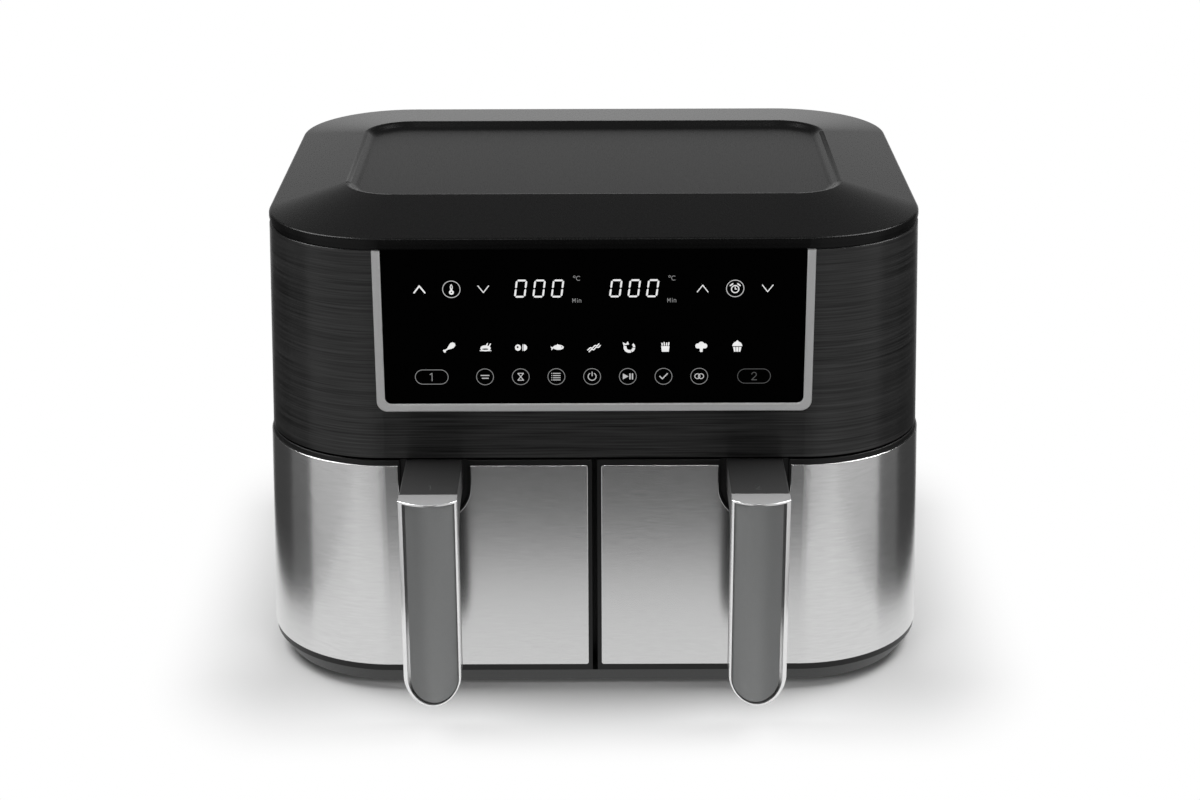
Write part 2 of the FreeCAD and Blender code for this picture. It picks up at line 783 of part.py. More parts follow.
def heater_guard(x):
    """Wire guard under the heater: rings welded on two bars that spring into the chamber."""
    reach = CHAMBER_HALF - SHEET
    bar_z = GUARD_Z - GUARD_BAR_DROP
    starts = [V(x - reach, UNIT_Y + side * GUARD_BAR_AT, bar_z) for side in (-1, 1)]
    bars = [Part.makeCylinder(GUARD_WIRE_R, 2 * reach, start, V(1, 0, 0)) for start in starts]
    rings = [Part.makeTorus(r, GUARD_WIRE_R, V(x, UNIT_Y, GUARD_Z)) for r in GUARD_RINGS]
    return bars[0].multiFuse(bars[1:] + rings)


def motor_shaft(x):
    """Shaft that carries both fans."""
    return rod_z(x, UNIT_Y, SHAFT_LOW, SHAFT_TOP, SHAFT_R)


def hot_air_fan(x):
    """Steel impeller in the chamber: a disc with bent blades below it."""
    hub = rod_z(0, 0, FAN_LOW, FAN_TOP, FAN_HUB_R)
    disc = rod_z(0, 0, FAN_TOP - FAN_DISC_T, FAN_TOP, FAN_R)
    blades = []
    for i in range(FAN_BLADES):
        root = V(FAN_HUB_R - 1, 0, FAN_LOW)
        spine = Part.Arc(root, V(*FAN_BLADE_BOW, FAN_LOW), V(*FAN_BLADE_TIP, FAN_LOW)).toShape()
        strip = spine.extrude(V(0, 0, FAN_TOP - FAN_LOW - FAN_DISC_T / 2))
        blade = strip.makeOffsetShape(BLADE_T, 0.01, fill=True)
        blade.rotate(V(0, 0, 0), V(0, 0, 1), i * 360 / FAN_BLADES)
        blades.append(blade)
    fan = fused(hub, disc, *blades).cut(rod_z(0, 0, SHAFT_LOW, FAN_TOP + 1, SHAFT_R))
    fan.translate(V(x, UNIT_Y, 0))
    return fan


def cooling_fan(x):
    """Moulded fan on top of the motor that cools the casing."""
    middle = COOLER_LOW + COOLER_H / 2
    hub = rod_z(0, 0, COOLER_LOW, COOLER_LOW + COOLER_H, COOLER_HUB_R)
    blades = []
    for i in range(COOLER_BLADES):
        blade = block(COOLER_HUB_R - 1, COOLER_R, -COOLER_H, COOLER_H,
                      middle - BLADE_T / 2, middle + BLADE_T / 2)
        blade.rotate(V(0, 0, middle), V(1, 0, 0), COOLER_PITCH_DEG)
        blade.rotate(V(0, 0, 0), V(0, 0, 1), i * 360 / COOLER_BLADES)
        blades.append(blade)
    fan = fused(hub, *blades).cut(rod_z(0, 0, COOLER_LOW - COOLER_H, SHAFT_TOP + COOLER_H, SHAFT_R))
    fan.translate(V(x, UNIT_Y, 0))
    return fan


def motor(x):
    """Fan motor with a bearing boss at each end."""
    can = rod_z(x, UNIT_Y, MOTOR_LOW, MOTOR_TOP, MOTOR_R)
    rims = edges_at(can, lambda b: b.ZLength < 0.01)
    can = can.makeFillet(WALL, rims)
    boss = rod_z(x, UNIT_Y, MOTOR_LOW - BRACKET_T, MOTOR_TOP + BRACKET_T, MOTOR_BOSS_R)
    bore = rod_z(x, UNIT_Y, MOTOR_LOW - THROUGH, MOTOR_TOP + THROUGH, SHAFT_R + SHAFT_PLAY)
    return fused(can, boss).cut(bore)


def motor_bracket(x):
    """Plate on four legs that holds the motor above the chamber."""
    z0 = MOTOR_LOW - BRACKET_T
    plate = prism(rounded_loop(x - BRACKET_X, x + BRACKET_X, UNIT_Y - BRACKET_Y, UNIT_Y + BRACKET_Y,
                               BRACKET_LEG_R, level(z0)), z=BRACKET_T)
    legs = [
        rod_z(x + i * (BRACKET_X - BRACKET_LEG_R), UNIT_Y + j * (BRACKET_Y - BRACKET_LEG_R),
              CHAMBER_TOP, z0, BRACKET_LEG_R)
        for i in (-1, 1) for j in (-1, 1)
    ]
    return fused(plate, *legs).cut(rod_z(x, UNIT_Y, z0 - THROUGH, z0 + THROUGH, MOTOR_BOSS_R))


def thermal_cutouts():
    """A safety cut-out on the roof of each chamber."""
    dx, dy = CUTOUT_AT
    return group(
        rod_z(x + dx, UNIT_Y + dy, CHAMBER_TOP, CHAMBER_TOP + CUTOUT_H, CUTOUT_R) for x in (-BAY_X, BAY_X)
    )


def temperature_probes():
    """A sensor through the front wall of each chamber."""
    return group(
        rod_y(x + PROBE_AT, PROBE_Z, behind(CHAMBER_FRONT - PROBE_OUT),
              behind(CHAMBER_FRONT + PROBE_IN), PROBE_R)
        for x in (-BAY_X, BAY_X)
    )


def exhaust_ducts():
    """A square duct from each chamber's port to its vent panel."""
    ducts = []
    for x in (-PORT_X, PORT_X):
        y0, y1 = behind(CHAMBER_BACK), BACK - SHELL_INNER
        outer = block(x - PORT_HALF - DUCT_WALL, x + PORT_HALF + DUCT_WALL, y0, y1,
                      PORT_LOW - DUCT_WALL, PORT_TOP + DUCT_WALL)
        ducts.append(outer.cut(block(x - PORT_HALF, x + PORT_HALF, y0, y1, PORT_LOW, PORT_TOP)))
    return group(ducts)


# Drawers, each drawn for the right side


def front_sector(y_back, x_inner):
    """The part of the casing's front right corner that a drawer front covers."""
    return block(x_inner, WIDTH, FRONT - DEPTH, behind(y_back), 0, HEIGHT)


def notch(half, y0, y1):
    """The tongue-shaped place where the handle's stem meets the drawer."""
    loop = u_loop(HANDLE_X, half, NOTCH_BOTTOM + NOTCH_HALF - half, DRAWER_TOP + 1, upright(y0))
    return prism(loop, y=y1 - y0)


def drawer_front():
    """Black moulding behind the skin, wrapped round the corner, with flanges top and bottom."""
    wall = casing_ring(0, FRONT_WALL, DRAWER_LOW, DRAWER_TOP)
    flanges = [
        casing_ring(0, FRONT_FLANGE, z, z + FRONT_WALL) for z in (DRAWER_LOW, DRAWER_TOP - FRONT_WALL)
    ]
    shell = fused(wall, *flanges).common(front_sector(FRONT_BACK, FRONT_GAP))
    cheek = block(FRONT_GAP, FRONT_GAP + FRONT_WALL, FRONT, behind(FRONT_FLANGE), DRAWER_LOW, DRAWER_TOP)
    shell = fused(shell, cheek)
    outer = rim_edges(shell, lambda p: abs(casing_depth(p)) < 0.01)
    top = [edge for edge in outer if edge.BoundBox.ZMin > DRAWER_TOP - 0.01]
    shell = shell.makeFillet(FRONT_EDGE_R, top)
    shell = shell.cut(notch(NOTCH_HALF - SKIN_PROUD, behind(-THROUGH), behind(NOTCH_POCKET)))
    return shell.cut(group(handle_screws().Solids))


def drawer_skin():
    """Brushed steel sheet over the drawer front, notched for the handle."""
    sheet = casing_ring(-SKIN_PROUD, 0, DRAWER_LOW + SKIN_BORDER_LOW, DRAWER_TOP - SKIN_BORDER_TOP)
    sheet = sheet.common(front_sector(SKIN_BACK, SKIN_SIDE))
    corners = edges_at(sheet, lambda b: b.XMax < SKIN_SIDE + 0.01 and b.ZLength < 0.01)
    sheet = sheet.makeFillet(SKIN_CORNER_R, corners)
    sheet = sheet.cut(notch(NOTCH_HALF, behind(-THROUGH), behind(THROUGH)))
    around = rim_edges(sheet, lambda p: abs(casing_depth(p) + SKIN_PROUD) < 0.01)
    return sheet.makeFillet(SKIN_EDGE_R, around)


def drawer_backing():
    """Inner cover that closes the drawer front and carries the pot on bosses."""
    y0 = behind(FRONT_FLANGE)
    low, top = DRAWER_LOW + FRONT_WALL, DRAWER_TOP - FRONT_WALL
    plate = casing_block(FRONT_WALL, low, top).common(
        block(FRONT_GAP, WIDTH, y0, y0 + BACKING_T, low, top))
    bosses = [
        rod_y(HANDLE_X + side * POT_BOSS_X, z, y0 + BACKING_T, behind(POT_FRONT + POT_DRAFT), POT_BOSS_R)
        for side in (-1, 1) for z in POT_BOSS_Z
    ]
    return fused(plate, *bosses).cut(pot_form(0))


def handle_screws():
    """Two screws from inside the drawer front into the stem."""
    y0 = behind(FRONT_WALL)
    z = DRAWER_TOP - STEM_H / 2
    return group(
        fused(
            rod_y(HANDLE_X + side * HANDLE_SCREW_AT, z, y0, y0 + HANDLE_SCREW_HEAD_H, HANDLE_SCREW_HEAD_R),
            rod_y(HANDLE_X + side * HANDLE_SCREW_AT, z, y0 - HANDLE_SCREW_GRIP, y0, HANDLE_SCREW_R),
        )
        for side in (-1, 1)
    )


def handle_tongue(x0, x1, low, top, y0, y1):
    """A tongue in the grip's front view, square above and round below, between two planes."""
    return prism(u_loop((x0 + x1) / 2, (x1 - x0) / 2, low, top, upright(y0)), y=y1 - y0)


def grip_tongue(y0, y1):
    """The whole of the grip's front view between two planes."""
    return handle_tongue(HANDLE_X - HANDLE_HALF, HANDLE_X + HANDLE_HALF, HANDLE_LOW, DRAWER_TOP, y0, y1)


def handle_body():
    """Stem out of the drawer front and the back half of the grip, in one moulding."""
    x0 = HANDLE_X - HANDLE_HALF
    stem_low = DRAWER_TOP - STEM_H
    back, front = behind(-GRIP_BACK), behind(-GRIP_FRONT)
    root = behind(NOTCH_POCKET)
    r = GRIP_CROOK_R
    k = r * (1 - math.sqrt(0.5))
    points = [
        V(x0, root, DRAWER_TOP), V(x0, front, DRAWER_TOP), V(x0, front, HANDLE_LOW), V(x0, back, HANDLE_LOW),
        V(x0, back, stem_low - r), V(x0, back + r, stem_low), V(x0, root, stem_low),
    ]
    profile = joined_edges(points, {4: V(x0, back + k, stem_low - k)})
    body = prism(profile, x=2 * HANDLE_HALF)
    body = body.common(grip_tongue(front, root))
    grip_back = edges_at(body, lambda b: abs(b.YMax - back) < 0.01 and b.YLength < 0.01)
    grip_back = [edge for edge in grip_back if edge.BoundBox.ZMin < stem_low - r - 0.01]
    grip_back = [edge for edge in grip_back if edge.BoundBox.ZLength > 1]
    body = body.makeFillet(GRIP_EDGE_R, grip_back)
    stem_sides = edges_at(body, lambda b: b.ZMin > DRAWER_TOP - 0.01 and b.XLength < 0.01)
    return body.makeFillet(STEM_EDGE_R, stem_sides).cut(group(handle_screws().Solids))


def face_radius():
    """Radius of the grip's bowed face, seen from above."""
    return (HANDLE_HALF ** 2 + FACE_BULGE ** 2) / (2 * FACE_BULGE)


def handle_face(sunk):
    """Everything behind the grip's bowed face, sunk by that much."""
    r = face_radius()
    return rod_z(HANDLE_X, behind(-HANDLE_REACH) + r, 0, HEIGHT, r - sunk)


def on_face(sunk):
    """Tests whether a point lies on the bowed face, sunk by that much."""
    r = face_radius()
    y = behind(-HANDLE_REACH) + r
    return lambda p: p.y < y and abs(math.hypot(p.x - HANDLE_X, p.y - y) - (r - sunk)) < 0.01


def handle_frame():
    """Bright frame round the front of the grip, with a bowed top and a round lower end."""
    front, back = behind(-HANDLE_REACH - THROUGH), behind(-GRIP_FRONT)
    frame = grip_tongue(front, back).common(handle_face(0))
    frame = frame.makeFillet(FRAME_EDGE_R, rim_edges(frame, on_face(0)))
    pocket = handle_tongue(HANDLE_X - HANDLE_HALF + FRAME_IN_W, HANDLE_X + HANDLE_HALF - FRAME_OUT_W,
                           HANDLE_LOW + FRAME_IN_W, DRAWER_TOP - FRAME_TOP_W, front, back - FRAME_BASE_T)
    return frame.cut(pocket)


def handle_insert():
    """Grey face set into the frame, with a shadow groove along its outer side."""
    front, back = behind(-HANDLE_REACH - THROUGH), behind(-GRIP_FRONT) - FRAME_BASE_T
    low = HANDLE_LOW + FRAME_IN_W + (INSERT_GAP + INSERT_GROOVE) / 2
    top = DRAWER_TOP - FRAME_TOP_W - INSERT_GAP
    face = handle_tongue(HANDLE_X - HANDLE_HALF + FRAME_IN_W + INSERT_GAP,
                         HANDLE_X + HANDLE_HALF - FRAME_OUT_W - INSERT_GROOVE, low, top, front, back)
    face = face.common(handle_face(INSERT_SUNK))
    return face.makeFillet(INSERT_EDGE_R, rim_edges(face, on_face(INSERT_SUNK)))


def pot_loop(inset, z):
    """The pot's outline, drawn in by inset."""
    return rounded_loop(POT_X0 + inset, POT_X1 - inset, behind(POT_FRONT + inset), behind(POT_BACK - inset),
                        POT_R - inset, level(z))


def pot_form(inset):
    """The pot's tapered form with a rounded foot, filled, drawn in by inset."""
    low = POT_LOW + inset
    form = tapered(pot_loop(POT_DRAFT + inset, low), pot_loop(inset, POT_RIM_LOW))
    return form.makeFillet(POT_FOOT_R - inset, edges_at(form, lambda b: b.ZMax < low + 0.01))


def pot():
    """Deep tub with a slight draft, a rounded foot and a flat rim."""
    rim = prism(pot_loop(-POT_RIM_W, POT_RIM_LOW), z=POT_RIM_TOP - POT_RIM_LOW)
    mouth = prism(pot_loop(POT_WALL, POT_RIM_LOW), z=POT_RIM_TOP - POT_RIM_LOW)
    return fused(pot_form(0), rim).cut(fused(pot_form(POT_WALL), mouth))


def crisper_plate():
    """Slotted plate with a turned-down edge that lies above the pot's floor."""
    inset = POT_WALL + POT_DRAFT + PLATE_GAP
    plate = prism(pot_loop(inset, PLATE_LOW), z=PLATE_TOP - PLATE_LOW)
    plate = plate.makeFillet(PLATE_EDGE_R, edges_at(plate, lambda b: b.ZMin > PLATE_TOP - 0.01))
    plate = plate.cut(prism(pot_loop(inset + PLATE_T, PLATE_LOW), z=PLATE_TOP - PLATE_LOW - PLATE_T))
    middle_y = behind((POT_FRONT + POT_BACK) / 2)
    slots = []
    for i in range(PLATE_SLOTS_X):
        for j in range(PLATE_SLOTS_Y):
            x = HANDLE_X + (i - (PLATE_SLOTS_X - 1) / 2) * PLATE_PITCH_X
            y = middle_y + (j - (PLATE_SLOTS_Y - 1) / 2) * PLATE_PITCH_Y
            loop = rounded_loop(x - PLATE_SLOT_L / 2, x + PLATE_SLOT_L / 2, y - PLATE_SLOT_W / 2,
                                y + PLATE_SLOT_W / 2, PLATE_SLOT_W / 2 - 0.01, level(PLATE_LOW))
            slots.append(prism(loop, z=2 * (PLATE_TOP - PLATE_LOW)))
    return plate.cut(group(slots))


def plate_bumpers(plate_shape):
    """Silicone bumpers clipped on the plate's edge, which stand on the pot's floor."""
    inset = POT_WALL + POT_DRAFT + PLATE_GAP
    x0, x1 = POT_X0 + inset, POT_X1 - inset
    middle_y = behind((POT_FRONT + POT_BACK) / 2)
    bumpers = []
    for y in (middle_y - BUMPER_SPREAD, middle_y + BUMPER_SPREAD):
        for outer, inner in ((x0 - BUMPER_OUT, x0 + BUMPER_T), (x1 + BUMPER_OUT, x1 - BUMPER_T)):
            loop = rounded_loop(min(outer, inner), max(outer, inner), y - BUMPER_W / 2, y + BUMPER_W / 2,
                                BUMPER_OUT / 2, level(POT_LOW))
            bumper = prism(loop, z=BUMPER_TOP - POT_LOW).common(pot_form(POT_WALL + BUMPER_CLEAR))
            bumpers.append(bumper.cut(plate_shape))
    return group(bumpers)


def drawer_pieces():
    """Every piece of the right-hand drawer."""
    plate_shape = crisper_plate()
    return {
        "pot": pot(),
        "drawer_front": drawer_front(),
        "drawer_skin": drawer_skin(),
        "drawer_backing": drawer_backing(),
        "handle_body": handle_body(),
        "handle_frame": handle_frame(),
        "handle_insert": handle_insert(),
        "handle_screws": handle_screws(),
        "crisper_plate": plate_shape,
        "plate_bumpers": plate_bumpers(plate_shape),
    }


def all_pieces():
    """Every node of the appliance, by name."""
    makers = (
        base_pan, base_screws, rubber_feet, upper_housing, rear_cover, rear_grilles, rear_screws, cord_gland,
        top_cover, panel_trim, control_glass, panel_bezel, control_board, display_modules, touch_pads,
        centre_divider, rear_bulkhead, deck, door_switches, power_board, relays,
        thermal_cutouts, temperature_probes, exhaust_ducts,
    )
    pieces = {maker.__name__: maker() for maker in makers}
    unit_makers = (
        chamber, heating_element, heater_guard, motor_shaft, hot_air_fan, cooling_fan, motor, motor_bracket,
    )
    for side, x in (("left", -BAY_X), ("right", BAY_X)):
        for maker in unit_makers:
            pieces[f"{side}_{maker.__name__}"] = maker(x)
    for name, shape in drawer_pieces().items():
        pieces[f"right_{name}"] = shape
        pieces[f"left_{name}"] = mirrored(shape)
    return pieces


def main():
    os.makedirs("parts", exist_ok=True)
    for name, shape in all_pieces().items():
        solids = shape.Solids
        volume = sum(solid.Volume for solid in solids)
        print(f"{name}: {len(solids)} solid(s), {volume / 1000:.1f} cm3, valid {shape.isValid()}")
        piece = solids[0] if len(solids) == 1 else group(solids)
        piece.exportStep(f"parts/{name}.step")


if __name__ == "__main__":
    main()
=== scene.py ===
"""Looks of an air fryer with two drawers: finishes, the lit touch panel and a plain studio."""
import json
import logging
import math
from dataclasses import dataclass
from enum import Enum
from typing import Any, Callable, Optional, Sequence

import bmesh
import bpy
from mathutils import Matrix, Vector


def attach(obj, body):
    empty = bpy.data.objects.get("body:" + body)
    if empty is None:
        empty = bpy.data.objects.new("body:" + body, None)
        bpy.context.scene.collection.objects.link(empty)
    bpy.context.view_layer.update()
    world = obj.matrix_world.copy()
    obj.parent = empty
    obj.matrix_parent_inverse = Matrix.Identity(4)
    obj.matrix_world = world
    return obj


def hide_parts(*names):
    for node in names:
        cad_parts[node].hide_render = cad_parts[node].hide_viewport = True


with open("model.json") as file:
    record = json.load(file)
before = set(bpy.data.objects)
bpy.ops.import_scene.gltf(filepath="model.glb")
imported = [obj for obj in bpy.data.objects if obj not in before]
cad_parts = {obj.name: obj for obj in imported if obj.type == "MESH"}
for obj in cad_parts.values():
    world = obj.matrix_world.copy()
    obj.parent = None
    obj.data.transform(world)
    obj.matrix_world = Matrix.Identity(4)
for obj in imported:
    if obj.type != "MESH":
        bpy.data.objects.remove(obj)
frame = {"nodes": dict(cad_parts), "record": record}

log = logging.getLogger("air_fryer")

Point = tuple[float, float]
Loop = list[Point]
Colour = tuple[float, float, float, float]

MM = 0.001


def linear(hex_colour: str) -> Colour:
    """Turns an sRGB hex colour into linear light.

    Args:
        hex_colour: Six hex digits, with or without a leading mark.

    Returns:
        Red, green, blue and an alpha of 1.
    """
    digits = hex_colour.lstrip("#")
    channels = [int(digits[i:i + 2], 16) / 255 for i in (0, 2, 4)]
    light = [c / 12.92 if c <= 0.04045 else ((c + 0.055) / 1.055) ** 2.4 for c in channels]
    return (light[0], light[1], light[2], 1.0)


def add_node(tree: bpy.types.NodeTree, kind: str, settings: Optional[dict[str, Any]] = None,
             inputs: Optional[dict[Any, Any]] = None) -> bpy.types.Node:
    """Adds a node, with its settings and what goes into its sockets.

    Args:
        tree: The tree that gets the node.
        kind: The node's type name.
        settings: Properties of the node by name.
        inputs: Values or output sockets by the input's name or number.

    Returns:
        The new node.
    """
    node = tree.nodes.new(kind)
    for name, value in (settings or {}).items():
        setattr(node, name, value)
    for name, value in (inputs or {}).items():
        socket = node.inputs[name]
        if isinstance(value, bpy.types.NodeSocket):
            tree.links.new(value, socket)
        else:
            socket.default_value = value
    return node


def per_mm(size_mm: float) -> float:
    """Works out a texture scale from the size of the detail.

    Args:
        size_mm: Size of the detail in millimetres.

    Returns:
        Repeats per metre.
    """
    return 1.0 / (size_mm * MM)


@dataclass(frozen=True)
class Finish:
    """A surface: its colour, gloss and the fine pattern on it.

    Attributes:
        name: The material's name.
        colour: sRGB hex colour.
        roughness: Mean roughness.
        metallic: 1 for a bare metal.
        specular: Specular level of a plastic or coat.
        anisotropy: How far brushing stretches highlights.
        grain_mm: Size of the fine pattern.
        relief_mm: Height of the fine pattern.
        tone: How far the pattern darkens and lightens the colour.
        gloss_swing: How far the pattern changes the roughness.
    """

    name: str
    colour: str
    roughness: float
    metallic: float = 0.0
    specular: float = 0.5
    anisotropy: float = 0.0
    grain_mm: float = 0.6
    relief_mm: float = 0.01
    tone: float = 0.06
    gloss_swing: float = 0.05

    def pattern(self, tree: bpy.types.NodeTree) -> bpy.types.NodeSocket:
        """Makes the fine pattern as a value about 0.5.

        Args:
            tree: The material's node tree.

        Returns:
            The socket that carries the pattern.
        """
        place = add_node(tree, "ShaderNodeTexCoord")
        noise = add_node(tree, "ShaderNodeTexNoise", None, {
            "Vector": place.outputs["Object"], "Scale": per_mm(self.grain_mm), "Detail": 3.0,
            "Roughness": 0.6})
        return noise.outputs["Fac"]

    def relief(self, tree: bpy.types.NodeTree, pattern: bpy.types.NodeSocket) -> bpy.types.NodeSocket:
        """Raises the fine pattern.

        Args:
            tree: The material's node tree.
            pattern: The socket that carries the pattern.

        Returns:
            The socket that carries the surface's direction.
        """
        bump = add_node(tree, "ShaderNodeBump", None, {
            "Height": pattern, "Strength": 1.0, "Distance": self.relief_mm * MM})
        return bump.outputs[0]

    def build(self) -> bpy.types.Material:
        """Makes the material, once for each name.

        Returns:
            The finished material.
        """
        if self.name in bpy.data.materials:
            return bpy.data.materials[self.name]
        material = bpy.data.materials.new(self.name)
        material.use_nodes = True
        tree = material.node_tree
        tree.nodes.clear()
        pattern = self.pattern(tree)
        spread = add_node(tree, "ShaderNodeMapRange", None, {
            "Value": pattern, "From Min": 0.3, "From Max": 0.7})
        base = linear(self.colour)
        shades = [tuple(min(1.0, c * k) for c in base[:3]) + (1.0,) for k in (1 - self.tone, 1 + self.tone)]
        colour = add_node(tree, "ShaderNodeMix", {"data_type": "RGBA"}, {
            0: spread.outputs[0], 6: shades[0], 7: shades[1]})
        gloss = add_node(tree, "ShaderNodeMapRange", None, {
            "Value": spread.outputs[0],
            "To Min": max(0.0, self.roughness - self.gloss_swing),
            "To Max": self.roughness + self.gloss_swing})
        around = add_node(tree, "ShaderNodeTangent", {"direction_type": "RADIAL", "axis": "Z"})
        shader = add_node(tree, "ShaderNodeBsdfPrincipled", None, {
            "Base Color": colour.outputs[2], "Roughness": gloss.outputs[0],
            "Normal": self.relief(tree, pattern), "Metallic": self.metallic,
            "Specular IOR Level": self.specular, "Anisotropic": self.anisotropy,
            "Anisotropic Rotation": 0.25, "Tangent": around.outputs[0]})
        add_node(tree, "ShaderNodeOutputMaterial", None, {"Surface": shader.outputs[0]})
        return material


@dataclass(frozen=True)
class BrushedFinish(Finish):
    """A surface brushed along the horizontal: long fine scratches, stacked upwards.

    Attributes:
        scratch_mm: Length over which a scratch keeps its tone.
    """

    scratch_mm: float = 60.0

    def pattern(self, tree: bpy.types.NodeTree) -> bpy.types.NodeSocket:
        """Makes scratches that run round the body, in two widths.

        Args:
            tree: The material's node tree.

        Returns:
            The socket that carries the pattern.
        """
        place = add_node(tree, "ShaderNodeTexCoord")
        layers = []
        for width, length in ((self.grain_mm, self.scratch_mm), (self.grain_mm * 3, self.scratch_mm * 2)):
            stretch = add_node(tree, "ShaderNodeMapping", None, {
                "Vector": place.outputs["Object"],
                "Scale": (per_mm(length), per_mm(length), per_mm(width))})
            layers.append(add_node(tree, "ShaderNodeTexNoise", None, {
                "Vector": stretch.outputs[0], "Scale": 1.0, "Detail": 2.0, "Roughness": 0.55}))
        mixed = add_node(tree, "ShaderNodeMix", {"data_type": "FLOAT"}, {
            0: 0.35, 2: layers[0].outputs["Fac"], 3: layers[1].outputs["Fac"]})
        return mixed.outputs[0]


@dataclass(frozen=True)
class CrownedFinish(Finish):
    """A surface of two upright strips, one on each side, that are rounded across.

    Attributes:
        strip_x_mm: From the middle plane to each strip's highest line.
        strip_r_mm: Radius of the rounding.
    """

    strip_x_mm: float = 94.5
    strip_r_mm: float = 11.5

    def relief(self, tree: bpy.types.NodeTree, pattern: bpy.types.NodeSocket) -> bpy.types.NodeSocket:
        """Rounds each strip across and raises the fine pattern on it.

        Args:
            tree: The material's node tree.
            pattern: The socket that carries the pattern.

        Returns:
            The socket that carries the surface's direction.
        """
        place = add_node(tree, "ShaderNodeTexCoord")
        axes = add_node(tree, "ShaderNodeSeparateXYZ", None, {0: place.outputs["Object"]})
        aside = add_node(tree, "ShaderNodeMath", {"operation": "ABSOLUTE"}, {0: axes.outputs["X"]})
        off = add_node(tree, "ShaderNodeMath", {"operation": "SUBTRACT"}, {
            0: aside.outputs[0], 1: self.strip_x_mm * MM})
        square = add_node(tree, "ShaderNodeMath", {"operation": "MULTIPLY"}, {
            0: off.outputs[0], 1: off.outputs[0]})
        crown = add_node(tree, "ShaderNodeMath", {"operation": "MULTIPLY"}, {
            0: square.outputs[0], 1: -0.5 / (self.strip_r_mm * MM)})
        across = add_node(tree, "ShaderNodeBump", None, {
            "Height": crown.outputs[0], "Strength": 1.0, "Distance": 1.0})
        bump = add_node(tree, "ShaderNodeBump", None, {
            "Height": pattern, "Strength": 1.0, "Distance": self.relief_mm * MM, "Normal": across.outputs[0]})
        return bump.outputs[0]


@dataclass(frozen=True)
class LitPrint:
    """A mark on the panel with light behind it.

    Attributes:
        name: The material's name.
        colour: sRGB hex colour that it shows.
    """

    name: str
    colour: str

    def build(self) -> bpy.types.Material:
        """Makes the material, once for each name.

        Returns:
            The finished material.
        """
        if self.name in bpy.data.materials:
            return bpy.data.materials[self.name]
        material = bpy.data.materials.new(self.name)
        material.use_nodes = True
        tree = material.node_tree
        tree.nodes.clear()
        place = add_node(tree, "ShaderNodeTexCoord")
        spread = add_node(tree, "ShaderNodeTexNoise", None, {
            "Vector": place.outputs["Object"], "Scale": per_mm(2.0), "Detail": 1.0})
        glow = linear(self.colour)
        soft = tuple(c * 0.82 for c in glow[:3]) + (1.0,)
        colour = add_node(tree, "ShaderNodeMix", {"data_type": "RGBA"}, {
            0: spread.outputs["Fac"], 6: soft, 7: glow})
        shader = add_node(tree, "ShaderNodeBsdfPrincipled", None, {
            "Base Color": (0.02, 0.02, 0.02, 1.0), "Roughness": 0.3,
            "Emission Color": colour.outputs[2], "Emission Strength": 1.0})
        add_node(tree, "ShaderNodeOutputMaterial", None, {"Surface": shader.outputs[0]})
        return material


